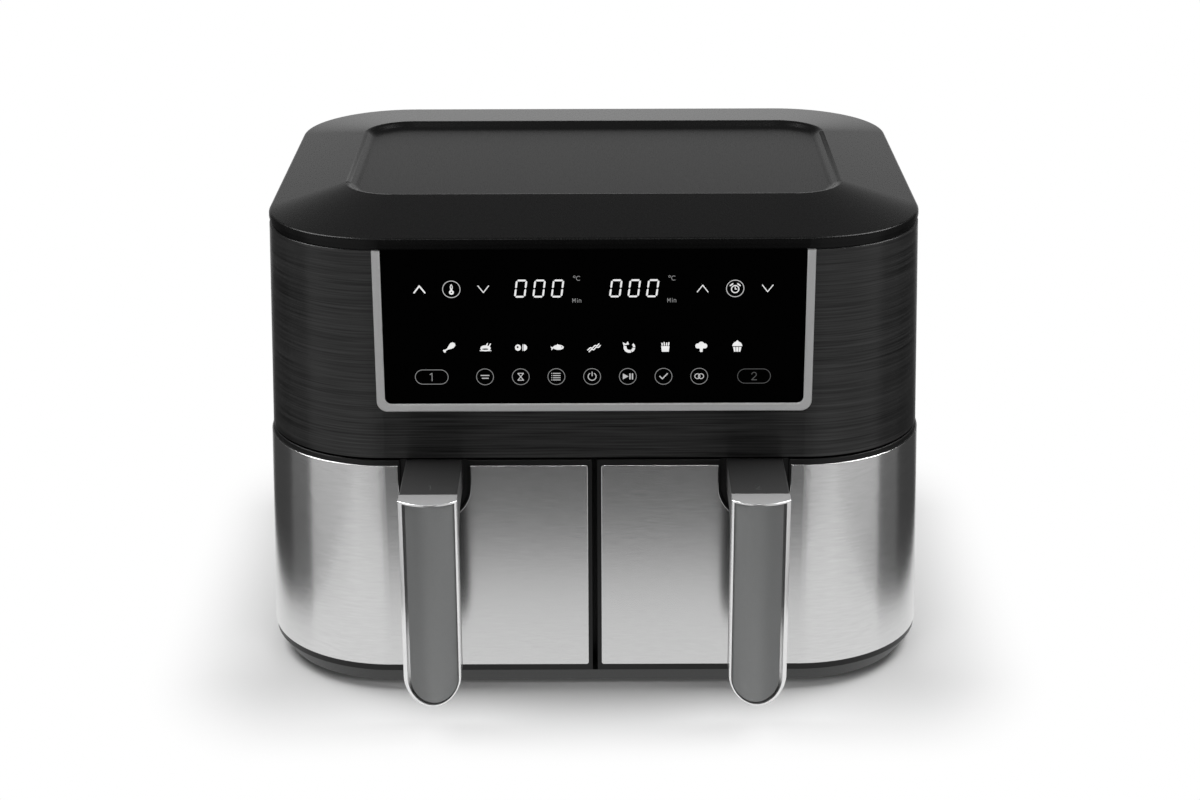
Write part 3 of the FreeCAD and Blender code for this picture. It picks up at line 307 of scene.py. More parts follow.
class Surface(Enum):
    """Every finish on the appliance."""

    # ABS, satin: a soft sheen that shows no clear reflection
    LID = Finish("satin_black_abs", "#0d0d0d", 0.28, specular=0.15, grain_mm=0.9, relief_mm=0.0002, tone=0.08,
                 gloss_swing=0.02)
    # Film over ABS, brushed along the band
    BAND = BrushedFinish("brushed_black_film", "#303030", 0.36, metallic=0.50, anisotropy=0.8, grain_mm=1.0,
                         relief_mm=0.004, tone=0.82, gloss_swing=0.06, scratch_mm=60.0)
    # ABS with a fine spark-eroded grain
    HOUSING = Finish("grained_black_abs", "#1b1b1b", 0.52, grain_mm=0.5, relief_mm=0.03, tone=0.10)
    BASE = Finish("dark_grey_abs", "#151716", 0.55, grain_mm=0.6, relief_mm=0.02, tone=0.08)
    # Toughened glass, printed black behind
    GLASS = Finish("black_touch_glass", "#010101", 0.06, specular=0.08, grain_mm=40.0, relief_mm=0.001,
                   tone=0.3, gloss_swing=0.015)
    # Chromium plate on a moulding
    CHROME = Finish("satin_chromium_plate", "#dedede", 0.32, metallic=0.42, grain_mm=0.5, relief_mm=0.0004,
                    tone=0.03, gloss_swing=0.02)
    SILVER = Finish("satin_silver_plate", "#ebebeb", 0.18, metallic=0.70, grain_mm=0.5, relief_mm=0.0004,
                    tone=0.03, gloss_swing=0.02)
    DRAWER = Finish("deep_black_abs", "#0c0c0c", 0.40, specular=0.3, grain_mm=0.6, relief_mm=0.004, tone=0.10)
    # Stainless sheet, brushed across the drawer
    STEEL = BrushedFinish("brushed_stainless", "#d2d2d2", 0.23, metallic=1.0, anisotropy=0.9, grain_mm=0.5,
                          relief_mm=0.0004, tone=0.06, gloss_swing=0.02, scratch_mm=8.0)
    GRIP = CrownedFinish("satin_grey_paint", "#919292", 0.60, specular=0.15, grain_mm=0.25,
                         relief_mm=0.003, tone=0.10)
    HANDLE = Finish("satin_black_handle", "#313131", 0.36, grain_mm=0.5, relief_mm=0.008, tone=0.08)
    # Sprayed non-stick coat with a fine fleck
    POT = Finish("non_stick_coat", "#343435", 0.40, specular=0.45, grain_mm=0.8, relief_mm=0.02, tone=0.25)
    SHEET = Finish("aluminised_sheet", "#b9b9b4", 0.34, metallic=1.0, grain_mm=6.0, relief_mm=0.01, tone=0.08)
    HEATER = Finish("heat_tinted_tube", "#6b5f55", 0.38, metallic=1.0, grain_mm=9.0, tone=0.30)
    FAN = Finish("pressed_fan_blade", "#bcbcbc", 0.30, metallic=1.0, grain_mm=2.0, relief_mm=0.005, tone=0.06)
    MOTOR = Finish("zinc_plated_can", "#8f8f8c", 0.36, metallic=1.0, grain_mm=4.0, relief_mm=0.01, tone=0.12)
    SHAFT = Finish("ground_steel", "#a8a8a8", 0.22, metallic=1.0, grain_mm=0.4, relief_mm=0.002, tone=0.05)
    SCREW = Finish("zinc_plated_screw", "#8d8d8c", 0.30, metallic=1.0, grain_mm=0.5, relief_mm=0.003,
                   tone=0.10)
    RUBBER = Finish("black_rubber", "#202020", 0.75, specular=0.3, grain_mm=0.5, relief_mm=0.03, tone=0.15)
    SILICONE = Finish("grey_silicone", "#3c3c3d", 0.60, specular=0.4, grain_mm=0.7, relief_mm=0.01, tone=0.08)
    BOARD = Finish("green_laminate", "#12492b", 0.35, grain_mm=2.5, relief_mm=0.02, tone=0.35)
    DISPLAY = Finish("dark_display_block", "#141414", 0.25, grain_mm=1.0, relief_mm=0.005, tone=0.1)
    FOAM = Finish("conductive_foam", "#3a3a3a", 0.85, specular=0.2, grain_mm=0.4, relief_mm=0.08, tone=0.25)
    RELAY = Finish("blue_relay_case", "#20468f", 0.40, grain_mm=0.8, relief_mm=0.01, tone=0.08)
    SWITCH = Finish("black_switch_case", "#242424", 0.45, grain_mm=0.6, relief_mm=0.01, tone=0.1)
    COOLER = Finish("pale_fan_moulding", "#b5b4ae", 0.45, grain_mm=0.8, relief_mm=0.01, tone=0.06)
    LIT = LitPrint("panel_light_full", "#f4f4f4")
    KEY_LIT = LitPrint("panel_light_keys", "#c4c4c4")
    HALF_LIT = LitPrint("panel_light_half", "#8a8a8a")
    DIM = LitPrint("panel_light_dim", "#4c4c4c")
    MARK = Finish("grey_drawer_number", "#4a4b4b", 0.30, grain_mm=0.4, relief_mm=0.001, tone=0.1)


SLOT_SURFACES = {
    "lid_plastic": Surface.LID, "band_black": Surface.BAND, "housing_black": Surface.HOUSING,
    "base_grey": Surface.BASE, "glass_black": Surface.GLASS, "trim_chrome": Surface.CHROME,
    "steel_brushed": Surface.STEEL, "grip_grey": Surface.GRIP, "handle_black": Surface.HANDLE,
    "pot_coating": Surface.POT, "sheet_steel": Surface.SHEET, "heater_tube": Surface.HEATER,
    "fan_metal": Surface.FAN, "motor_steel": Surface.MOTOR, "shaft_steel": Surface.SHAFT,
    "screw_steel": Surface.SCREW, "foot_rubber": Surface.RUBBER, "silicone": Surface.SILICONE,
    "board_green": Surface.BOARD, "display_dark": Surface.DISPLAY, "pad_foam": Surface.FOAM,
    "relay_blue": Surface.RELAY, "switch_black": Surface.SWITCH, "cooler_plastic": Surface.COOLER,
}


NODE_SURFACES = {
    f"{side}_{node}": surface for side in ("left", "right")
    for node, surface in (("handle_frame", Surface.SILVER), ("drawer_front", Surface.DRAWER))
}


# Edge radii, in millimetres, of pieces whose solids have square edges
EASED_EDGES = {"panel_trim": 0.7}


def ease_edges(piece: bpy.types.Object, radius: float) -> None:
    """Rounds a piece's square edges so that they catch the light.

    Args:
        piece: The object with square edges.
        radius: The edges' radius in millimetres.
    """
    bevel = piece.modifiers.new("eased_edges", "BEVEL")
    bevel.width = radius * MM
    bevel.segments = 3
    bevel.limit_method = "ANGLE"
    bevel.angle_limit = math.radians(40)


def dress_nodes() -> None:
    """Gives every solid the finish of its material slot, or its own where it has one."""
    for part in frame["record"]["subparts"]:
        mesh = frame["nodes"][part["node"]].data
        surface = NODE_SURFACES.get(part["node"], SLOT_SURFACES[part["material_slot"]])
        mesh.materials.clear()
        mesh.materials.append(surface.value.build())
        if part["node"] in EASED_EDGES:
            ease_edges(frame["nodes"][part["node"]], EASED_EDGES[part["node"]])
        log.info("%s is %s", part["node"], mesh.materials[0].name)


@dataclass(frozen=True)
class Outline:
    """A flat shape in millimetres: one outer loop and the holes in it.

    Attributes:
        outer: Points round the outside.
        holes: Loops that are left open.
    """

    outer: Loop
    holes: tuple[Loop, ...] = ()

    def moved(self, x: float, y: float) -> "Outline":
        """Shifts the shape.

        Args:
            x: To the right, in millimetres.
            y: Upwards, in millimetres.

        Returns:
            The shifted shape.
        """
        return Outline([(u + x, v + y) for u, v in self.outer],
                       tuple([(u + x, v + y) for u, v in hole] for hole in self.holes))

    def turned(self, degrees: float) -> "Outline":
        """Turns the shape about its origin.

        Args:
            degrees: Anticlockwise.

        Returns:
            The turned shape.
        """
        c, s = math.cos(math.radians(degrees)), math.sin(math.radians(degrees))
        return Outline([(u * c - v * s, u * s + v * c) for u, v in self.outer],
                       tuple([(u * c - v * s, u * s + v * c) for u, v in hole] for hole in self.holes))


def oval(rx: float, ry: float, x: float = 0.0, y: float = 0.0, count: int = 32) -> Loop:
    """Makes points round an oval.

    Args:
        rx: Half its width.
        ry: Half its height.
        x: Its middle, across.
        y: Its middle, upwards.
        count: How many points.

    Returns:
        The points in order.
    """
    steps = [2 * math.pi * i / count for i in range(count)]
    return [(x + rx * math.cos(a), y + ry * math.sin(a)) for a in steps]


def disc(r: float, x: float = 0.0, y: float = 0.0) -> Outline:
    """Makes a filled circle.

    Args:
        r: Its radius.
        x: Its middle, across.
        y: Its middle, upwards.

    Returns:
        The shape.
    """
    return Outline(oval(r, r, x, y))


def ring(r: float, width: float, x: float = 0.0, y: float = 0.0) -> Outline:
    """Makes a circle drawn as a line.

    Args:
        r: Its outer radius.
        width: Width of the line.
        x: Its middle, across.
        y: Its middle, upwards.

    Returns:
        The shape.
    """
    return Outline(oval(r, r, x, y, 40), (oval(r - width, r - width, x, y, 40),))


def capsule(a: Point, b: Point, width: float) -> Outline:
    """Makes a straight stroke with round ends.

    Args:
        a: Where it starts.
        b: Where it ends.
        width: Its width.

    Returns:
        The shape.
    """
    angle = math.atan2(b[1] - a[1], b[0] - a[0])
    half = width / 2
    loop: Loop = []
    for centre, start in ((b, angle - math.pi / 2), (a, angle + math.pi / 2)):
        loop += [(centre[0] + half * math.cos(start + math.pi * i / 6),
                  centre[1] + half * math.sin(start + math.pi * i / 6)) for i in range(7)]
    return Outline(loop)


def strokes(points: Sequence[Point], width: float) -> list[Outline]:
    """Draws a line through points with a round pen.

    Args:
        points: Where the line goes.
        width: Its width.

    Returns:
        One stroke for each length between two points.
    """
    return [capsule(a, b, width) for a, b in zip(points, points[1:])]


def arc_points(r: float, start: float, end: float, x: float = 0.0, y: float = 0.0, count: int = 14) -> Loop:
    """Makes points along an arc.

    Args:
        r: Its radius.
        start: Where it starts, in degrees.
        end: Where it ends, in degrees.
        x: Its middle, across.
        y: Its middle, upwards.
        count: How many steps it takes.

    Returns:
        The points in order.
    """
    angles = [math.radians(start + (end - start) * i / count) for i in range(count + 1)]
    return [(x + r * math.cos(a), y + r * math.sin(a)) for a in angles]


def band(r: float, width: float, start: float, end: float, x: float = 0.0, y: float = 0.0) -> Outline:
    """Makes part of a ring.

    Args:
        r: Its outer radius.
        width: Its width.
        start: Where it starts, in degrees.
        end: Where it ends, in degrees.
        x: Its middle, across.
        y: Its middle, upwards.

    Returns:
        The shape.
    """
    return Outline(arc_points(r, start, end, x, y) + arc_points(r - width, end, start, x, y))


def pill(half_w: float, half_h: float, width: float) -> Outline:
    """Makes a long round-ended frame.

    Args:
        half_w: Half its width.
        half_h: Half its height.
        width: Width of its line.

    Returns:
        The shape.
    """
    def loop(r: float) -> Loop:
        x = half_w - half_h
        return arc_points(r, -90, 90, x) + arc_points(r, 90, 270, -x)
    return Outline(loop(half_h), (loop(half_h - width),))


class Glyph(Enum):
    """Marks that the panel shows, each about its own middle and in millimetres."""

    UP = tuple(strokes([(-3.2, -2.1), (0.0, 2.1), (3.2, -2.1)], 0.55))
    UP_BOLD = tuple(strokes([(-3.2, -2.1), (0.0, 2.1), (3.2, -2.1)], 0.9))
    DOWN = tuple(strokes([(-3.2, 2.1), (0.0, -2.1), (3.2, 2.1)], 0.55))
    THERMOMETER = (Outline(oval(1.45, 1.45, 0, -1.9), (oval(0.45, 0.45, 0, -1.9),)),
                   Outline(oval(0.8, 1.9, 0, 1.2), (oval(0.3, 1.1, 0, 1.5),)))
    CLOCK = (ring(2.5, 0.6, 0, -0.4), capsule((0, -0.4), (0, 1.0), 0.5), capsule((0, -0.4), (1.0, -0.4), 0.5),
             capsule((-2.9, 1.8), (-1.5, 2.9), 0.8), capsule((2.9, 1.8), (1.5, 2.9), 0.8))
    DRUMSTICK = (Outline([(3.6, 1.5), (3.2, 2.9), (1.9, 3.5), (0.4, 2.9), (-0.5, 1.4), (-1.7, -0.7),
                          (-1.3, -1.2), (0.9, -0.7), (2.5, 0.0)]),
                 capsule((-1.4, -0.9), (-2.9, -1.9), 0.9), disc(0.65, -3.3, -1.8), disc(0.65, -2.9, -2.4))
    ROAST = (Outline(oval(3.1, 1.9, 0.0, -0.4), (oval(2.0, 0.45, -0.2, -0.9),)),
             capsule((0.4, 0.8), (1.2, 2.6), 0.7), capsule((2.0, 0.4), (3.0, 2.4), 0.7),
             capsule((-3.3, -1.9), (3.3, -1.9), 0.5))
    STEAK = (Outline(oval(1.8, 2.0, -2.1, 0.0), (oval(0.6, 0.7, -2.3, 0.3),)),
             Outline(arc_points(2.1, -90, 90, 1.3, 0.0)), capsule((0.8, -1.8), (0.8, 1.8), 0.45))
    FISH = (Outline(oval(3.2, 1.6, 0.6, 0.1), (oval(0.35, 0.35, 2.6, 0.4),)),
            Outline([(-1.9, 0.0), (-4.2, 0.6), (-3.6, -0.5), (-3.7, -1.9)]),
            Outline([(-0.6, 1.2), (1.6, 1.3), (0.0, 2.2)]))
    BACON = tuple(
        strokes([(-3.4, -1.7), (-1.9, -0.2), (-0.6, -0.5), (0.9, 1.2), (2.3, 1.0), (3.3, 2.2)], 0.7)
        + strokes([(-2.6, -2.7), (-1.1, -1.2), (0.2, -1.5), (1.7, 0.2), (3.1, 0.0), (4.1, 1.2)], 0.7))
    SHRIMP = (band(3.5, 1.8, -200, -70), band(3.5, 1.6, -62, -8), band(3.5, 1.3, 0, 45),
              Outline([(-2.6, 1.4), (-0.9, 3.8), (-0.2, 1.8)]),
              Outline([(-3.5, 1.1), (-4.0, 3.2), (-1.9, 2.1)]))
    FRIES = (Outline([(-2.5, 0.7), (2.5, 0.7), (2.1, -2.9), (-2.1, -2.9)]),
             capsule((-1.9, 1.3), (-2.0, 2.4), 0.8), capsule((-0.6, 1.3), (-0.7, 2.9), 0.8),
             capsule((0.7, 1.3), (0.8, 2.6), 0.8), capsule((1.9, 1.3), (2.1, 2.8), 0.8))
    BROCCOLI = (disc(1.6, -2.0, 0.7), disc(1.8, 0.0, 1.6), disc(1.6, 2.0, 0.7),
                Outline([(-1.9, 0.0), (1.9, 0.0), (0.9, -1.3), (0.8, -3.1), (-0.8, -3.1), (-0.9, -1.3)]))
    CUPCAKE = (Outline(arc_points(3.0, 0, 180, 0.0, 0.5)), disc(0.65, 0.0, 3.5),
               Outline([(-2.5, 0.0), (-1.1, 0.0), (-0.9, -3.0), (-1.9, -3.0)]),
               Outline([(-0.75, 0.0), (0.75, 0.0), (0.6, -3.0), (-0.6, -3.0)]),
               Outline([(1.1, 0.0), (2.5, 0.0), (1.9, -3.0), (0.9, -3.0)]))
    TWO_LINES = (capsule((-2.4, 0.9), (2.4, 0.9), 0.6), capsule((-1.7, -0.9), (2.0, -0.9), 0.6))
    HOURGLASS = tuple(strokes([(-1.7, 2.2), (1.7, 2.2), (-1.7, -2.2), (1.7, -2.2), (-1.7, 2.2)], 0.5))
    MENU = tuple(capsule((-1.9, y), (2.3, y), 0.5) for y in (-2.1, -0.7, 0.7, 2.1)) \
        + tuple(disc(0.3, -2.8, y) for y in (-2.1, -0.7, 0.7, 2.1))
    POWER = (band(2.7, 0.55, 120, 420), capsule((0, 0.5), (0, 2.9), 0.55))
    PLAY = (Outline([(-3.0, -1.9), (-3.0, 1.9), (0.4, 0.0)]), capsule((1.3, -1.6), (1.3, 1.6), 0.8),
            capsule((2.8, -1.6), (2.8, 1.6), 0.8))
    TICK = tuple(strokes([(-2.2, 0.0), (-0.7, -1.6), (2.3, 1.7)], 0.7))
    LINKED = (ring(1.8, 0.5, -1.1, 0.0), ring(1.8, 0.5, 1.1, 0.0))
    ONE = tuple(strokes([(-1.0, 1.6), (0.2, 2.4), (0.2, -2.4)], 0.5))
    TWO = tuple(strokes(arc_points(1.4, 170, -35, 0.0, 1.0, 8) + [(-1.4, -2.4), (1.6, -2.4)], 0.5))
    DEGREES_C = (ring(0.7, 0.3, -1.5, 1.0), band(1.5, 0.36, 50, 310, 1.0, 0.0))
    MINUTES = tuple(strokes([(-2.6, -1.2), (-2.6, 1.2), (-1.8, -0.4), (-1.0, 1.2), (-1.0, -1.2)], 0.33)
                    + strokes([(0.2, -1.2), (0.2, 0.4)], 0.33) + [disc(0.22, 0.2, 1.1)]
                    + strokes([(1.2, -1.2), (1.2, 0.4), (1.9, 0.5), (2.4, 0.1), (2.4, -1.2)], 0.33))


def zero_digit(width: float, height: float, slant: float) -> list[Outline]:
    """Makes a nought of six slanted display segments, about its own middle.

    Args:
        width: Across the digit.
        height: Up the digit.
        slant: How far it leans for each unit of height.

    Returns:
        The segments.
    """
    bar = 1.1
    gap = 0.22
    x, y = width / 2 - bar / 2, height / 2 - bar / 2

    def segment(a: Point, b: Point) -> Outline:
        length = math.dist(a, b) / 2 - gap
        half = bar / 2
        tip = length - half
        shape = Outline([(-length, 0), (-tip, half), (tip, half), (length, 0), (tip, -half), (-tip, -half)])
        turned = shape.turned(math.degrees(math.atan2(b[1] - a[1], b[0] - a[0])))
        placed = turned.moved((a[0] + b[0]) / 2, (a[1] + b[1]) / 2)
        return Outline([(u + v * slant, v) for u, v in placed.outer])

    corners = [(-x, -y), (-x, 0.0), (-x, y), (x, y), (x, 0.0), (x, -y)]
    return [segment(a, b) for a, b in zip(corners, corners[1:] + corners[:1])]


def print_mesh(name: str, shapes: Sequence[Outline], place: Callable[[float, float, float], Vector],
               thickness: float) -> bpy.types.Mesh:
    """Makes thin closed solids out of flat shapes.

    Args:
        name: The mesh's name.
        shapes: What is printed, in millimetres.
        place: Puts (u, v, height) in the frame, in metres.
        thickness: How far the print stands out, in millimetres.

    Returns:
        The mesh.
    """
    whole = bmesh.new()
    for shape in shapes:
        flat = bmesh.new()
        edges = []
        for loop in (shape.outer, *shape.holes):
            ends = [flat.verts.new((u, v, 0.0)) for u, v in loop]
            edges += [flat.edges.new((a, b)) for a, b in zip(ends, ends[1:] + ends[:1])]
        bmesh.ops.triangle_fill(flat, use_beauty=True, edges=edges, normal=(0, 0, 1))
        grown = bmesh.ops.extrude_face_region(flat, geom=flat.faces[:], use_keep_orig=True)
        for vert in (v for v in grown["geom"] if isinstance(v, bmesh.types.BMVert)):
            vert.co.z = thickness
        bmesh.ops.recalc_face_normals(flat, faces=flat.faces[:])
        part = bpy.data.meshes.new("part")
        flat.to_mesh(part)
        whole.from_mesh(part)
        flat.free()
        bpy.data.meshes.remove(part)
    for vert in whole.verts:
        vert.co = place(*vert.co)
    bmesh.ops.recalc_face_normals(whole, faces=whole.faces[:])
    mesh = bpy.data.meshes.new(name)
    whole.to_mesh(mesh)
    whole.free()
    return mesh


def add_piece(name: str, mesh: bpy.types.Mesh, surface: Surface, body: str) -> bpy.types.Object:
    """Adds a new piece that moves with a body.

    Args:
        name: The piece's name.
        mesh: Its mesh, in the frame.
        surface: Its finish.
        body: The body that it rides on.

    Returns:
        The new object.
    """
    piece = bpy.data.objects.new(name, mesh)
    bpy.context.scene.collection.objects.link(piece)
    mesh.materials.clear()
    mesh.materials.append(surface.value.build())
    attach(piece, body)
    return piece


class RowOfCopies:
    """Geometry nodes that repeat a shape along a straight row."""

    NAME = "row_of_copies"

    @classmethod
    def tree(cls) -> bpy.types.NodeTree:
        """Makes the node tree once.

        Returns:
            The tree, with the inputs Count, Step and Finish.
        """
        if cls.NAME in bpy.data.node_groups:
            return bpy.data.node_groups[cls.NAME]
        tree = bpy.data.node_groups.new(cls.NAME, "GeometryNodeTree")
        inputs = (("Geometry", "Geometry"), ("Count", "Int"), ("Step", "Vector"), ("Finish", "Material"))
        for name, kind in inputs:
            tree.interface.new_socket(name, in_out="INPUT", socket_type=f"NodeSocket{kind}")
        tree.interface.new_socket("Geometry", in_out="OUTPUT", socket_type="NodeSocketGeometry")
        given = add_node(tree, "NodeGroupInput").outputs
        row = add_node(tree, "GeometryNodeMeshLine", {"mode": "OFFSET"}, {
            "Count": given["Count"], "Offset": given["Step"]})
        copies = add_node(tree, "GeometryNodeInstanceOnPoints", None, {
            "Points": row.outputs[0], "Instance": given["Geometry"]})
        solid = add_node(tree, "GeometryNodeRealizeInstances", None, {"Geometry": copies.outputs[0]})
        dressed = add_node(tree, "GeometryNodeSetMaterial", None, {
            "Geometry": solid.outputs[0], "Material": given["Finish"]})
        add_node(tree, "NodeGroupOutput", None, {"Geometry": dressed.outputs[0]})
        return tree

    @classmethod
    def apply(cls, mesh: bpy.types.Mesh, count: int, step: tuple[float, float, float],
              surface: Surface) -> bpy.types.Mesh:
        """Repeats a mesh along a row.

        Args:
            mesh: The first copy, where it belongs.
            count: How many copies there are.
            step: From one copy to the next, in metres.
            surface: The finish of them all.

        Returns:
            A mesh with every copy.
        """
        tree = cls.tree()
        holder = bpy.data.objects.new(mesh.name, mesh)
        bpy.context.scene.collection.objects.link(holder)
        modifier = holder.modifiers.new("row", "NODES")
        modifier.node_group = tree
        wanted = {"Count": count, "Step": step, "Finish": surface.value.build()}
        for item in tree.interface.items_tree:
            if item.in_out == "INPUT" and item.name in wanted:
                modifier[item.identifier] = wanted[item.name]
        graph = bpy.context.evaluated_depsgraph_get()
        repeated = bpy.data.meshes.new_from_object(holder.evaluated_get(graph))
        repeated.name = mesh.name
        holder.modifiers.remove(modifier)
        bpy.data.objects.remove(holder)
        return repeated


@dataclass(frozen=True)
class ControlPanel:
    """What shows through the touch glass: two readouts, programmes and keys.

    Attributes:
        face_y: The glass's front, in millimetres.
        print_mm: How far the print stands out.
        readout_z: Height of the readouts.
        food_z: Height of the row of programmes.
        key_z: Height of the lower row of keys.
    """

    face_y: float = -127.8
    print_mm: float = 0.05
    readout_z: float = 265.6
    food_z: float = 228.8
    key_z: float = 210.2

    def on_glass(self, u: float, v: float, height: float) -> Vector:
        """Puts a printed point on the glass.

        Args:
            u: Across, in millimetres.
            v: Height in the frame, in millimetres.
            height: How far it stands out of the glass.

        Returns:
            The point in metres.
        """
        return Vector((u, self.face_y - height, v)) * MM

    def add(self, name: str, shapes: Sequence[Outline], surface: Surface, count: int = 1,
            pitch: float = 0.0) -> None:
        """Adds one group of marks, or a row of it.

        Args:
            name: The piece's name.
            shapes: Its marks, where the first copy belongs.
            surface: How brightly it is lit.
            count: How many copies stand in a row.
            pitch: From one copy to the next, in millimetres.
        """
        mesh = print_mesh(name, shapes, self.on_glass, self.print_mm)
        if count > 1:
            mesh = RowOfCopies.apply(mesh, count, (pitch * MM, 0.0, 0.0), surface)
        add_piece(name, mesh, surface, "chassis")

    def build(self) -> None:
        """Builds every mark on the glass."""
        for name, x in (("left", -43.4), ("right", 13.1)):
            nought = [s.moved(x, self.readout_z + 0.3) for s in zero_digit(6.8, 11.2, 0.13)]
            self.add(f"{name}_readout", nought, Surface.LIT, 3, 10.95)
        self.add("readout_units", self.placed([
            (glyph, x, self.readout_z + rise) for x in (-10.0, 46.5)
            for glyph, rise in ((Glyph.DEGREES_C, 6.6), (Glyph.MINUTES, -7.2))]), Surface.HALF_LIT)
        self.add("readout_keys", self.placed((
            (Glyph.UP_BOLD, -103.6, self.readout_z), (Glyph.DOWN, -65.6, self.readout_z),
            (Glyph.UP, 64.7, self.readout_z), (Glyph.DOWN, 103.3, self.readout_z),
            (Glyph.THERMOMETER, -84.6, self.readout_z), (Glyph.CLOCK, 84.0, self.readout_z))), Surface.LIT)
        self.add("readout_rings", [ring(5.4, 0.45, -84.6, self.readout_z)], Surface.KEY_LIT, 2, 168.6)
        foods = (Glyph.DRUMSTICK, Glyph.ROAST, Glyph.STEAK, Glyph.FISH, Glyph.BACON, Glyph.SHRIMP,
                 Glyph.FRIES, Glyph.BROCCOLI, Glyph.CUPCAKE)
        self.add("programme_marks", self.placed(
            [(food, -86.6 + 21.56 * i, self.food_z) for i, food in enumerate(foods)]), Surface.LIT)
        self.add("key_rings", [ring(5.3, 0.38, -65.7, self.key_z)], Surface.HALF_LIT, 7, 21.5)
        keys = (Glyph.TWO_LINES, Glyph.HOURGLASS, Glyph.MENU, Glyph.POWER, Glyph.PLAY, Glyph.TICK,
                Glyph.LINKED)
        self.add("key_marks", self.placed(
            [(key, -65.7 + 21.5 * i, self.key_z) for i, key in enumerate(keys)]), Surface.KEY_LIT)
        self.add("left_drawer_key", [pill(10.1, 4.75, 0.38).moved(-97.8, self.key_z)]
                 + self.placed([(Glyph.ONE, -97.8, self.key_z)]), Surface.HALF_LIT)
        self.add("right_drawer_key", [pill(10.1, 4.75, 0.38).moved(96.3, self.key_z)]
                 + self.placed([(Glyph.TWO, 96.3, self.key_z)]), Surface.DIM)

    @staticmethod
    def placed(marks: Sequence[tuple[Glyph, float, float]]) -> list[Outline]:
        """Moves each glyph to its place on the glass.

        Args:
            marks: Each glyph with its place across and its height.

        Returns:
            All their shapes.
        """
        return [shape.moved(x, z) for glyph, x, z in marks for shape in glyph.value]


@dataclass(frozen=True)
class DrawerNumber:
    """The number on top of a handle's stem.

    Attributes:
        side: Which drawer it belongs to.
        glyph: The number.
        at: Its middle on the stem, in millimetres.
    """

    side: str
    glyph: Glyph
    at: tuple[float, float, float]

    def build(self) -> None:
        """Builds the number so that it reads from the front."""
        x, y, z = self.at
        mesh = print_mesh(f"{self.side}_stem_number", self.glyph.value,
                          lambda u, v, height: Vector((x + u, y + 1.5 * v, z + height)) * MM, 0.05)
        add_piece(mesh.name, mesh, Surface.MARK, f"{self.side}_drawer")


@dataclass(frozen=True)
class CrossHeadScrews:
    """Rows of screws with a cross recess, in place of plain ones.

    Attributes:
        node: The solids that they stand in for.
        starts: Middle of the first head of each row, in millimetres.
        step: From one screw to the next.
        outwards: The way the heads face.
        head_r: Radius of a head.
        head_h: Height of a head.
        recess_r: Half the length of the cross recess.
        recess_w: Width of its arms.
        recess_h: Its depth.
    """

    node: str
    starts: tuple[tuple[float, float, float], ...]
    step: tuple[float, float, float]
    outwards: tuple[float, float, float]
    head_r: float = 3.6
    head_h: float = 1.5
    recess_r: float = 1.9
    recess_w: float = 0.8
    recess_h: float = 0.9

    def head(self) -> bpy.types.Mesh:
        """Makes one screw head about its seat, facing up.

        Returns:
            The mesh, in metres.
        """
        whole = bmesh.new()
        profile = [(self.head_r, 0.0), (self.head_r, self.head_h - 0.5),
                   (self.head_r - 0.5, self.head_h - 0.05)]
        rings = []
        for r, z in profile:
            rings.append([whole.verts.new((u, v, z)) for u, v in oval(r, r, count=40)])
        for low, high in zip(rings, rings[1:]):
            for i in range(40):
                j = (i + 1) % 40
                whole.faces.new((low[i], low[j], high[j], high[i]))
        whole.faces.new(rings[0][::-1])
        a, b = self.recess_w / 2, self.recess_r
        cross = [(b, -a), (b, a), (a, a), (a, b), (-a, b), (-a, a),
                 (-b, a), (-b, -a), (-a, -a), (-a, -b), (a, -b), (a, -a)]
        mouth = [whole.verts.new((u, v, self.head_h - 0.05)) for u, v in cross]
        floor = [whole.verts.new((0.8 * u, 0.8 * v, self.head_h - self.recess_h)) for u, v in cross]
        for i in range(12):
            j = (i + 1) % 12
            whole.faces.new((mouth[j], mouth[i], floor[i], floor[j]))
        whole.faces.new(floor)
        top = rings[-1]
        edges = [whole.edges.get((top[i], top[(i + 1) % 40])) for i in range(40)]
        edges += [whole.edges.get((mouth[i], mouth[(i + 1) % 12])) for i in range(12)]
        bmesh.ops.triangle_fill(whole, use_beauty=True, edges=edges, normal=(0, 0, 1))
        bmesh.ops.recalc_face_normals(whole, faces=whole.faces[:])
        mesh = bpy.data.meshes.new(self.node)
        whole.to_mesh(mesh)
        whole.free()
        return mesh

    def build(self) -> None:
        """Builds the rows and lets them stand in for the plain screws."""
        turn = Vector((0, 0, 1)).rotation_difference(Vector(self.outwards)).to_matrix().to_4x4()
        step = tuple(v * MM for v in self.step)
        for i, start in enumerate(self.starts):
            mesh = self.head()
            mesh.name = f"{self.node}_row_{i}"
            seat = Vector(start) - Vector(self.outwards) * self.head_h
            mesh.transform(Matrix.Translation(seat * MM) @ turn @ Matrix.Scale(MM, 4))
            row = RowOfCopies.apply(mesh, 3, step, Surface.SCREW)
            piece = add_piece(row.name, row, Surface.SCREW, "chassis")
            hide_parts(self.node)


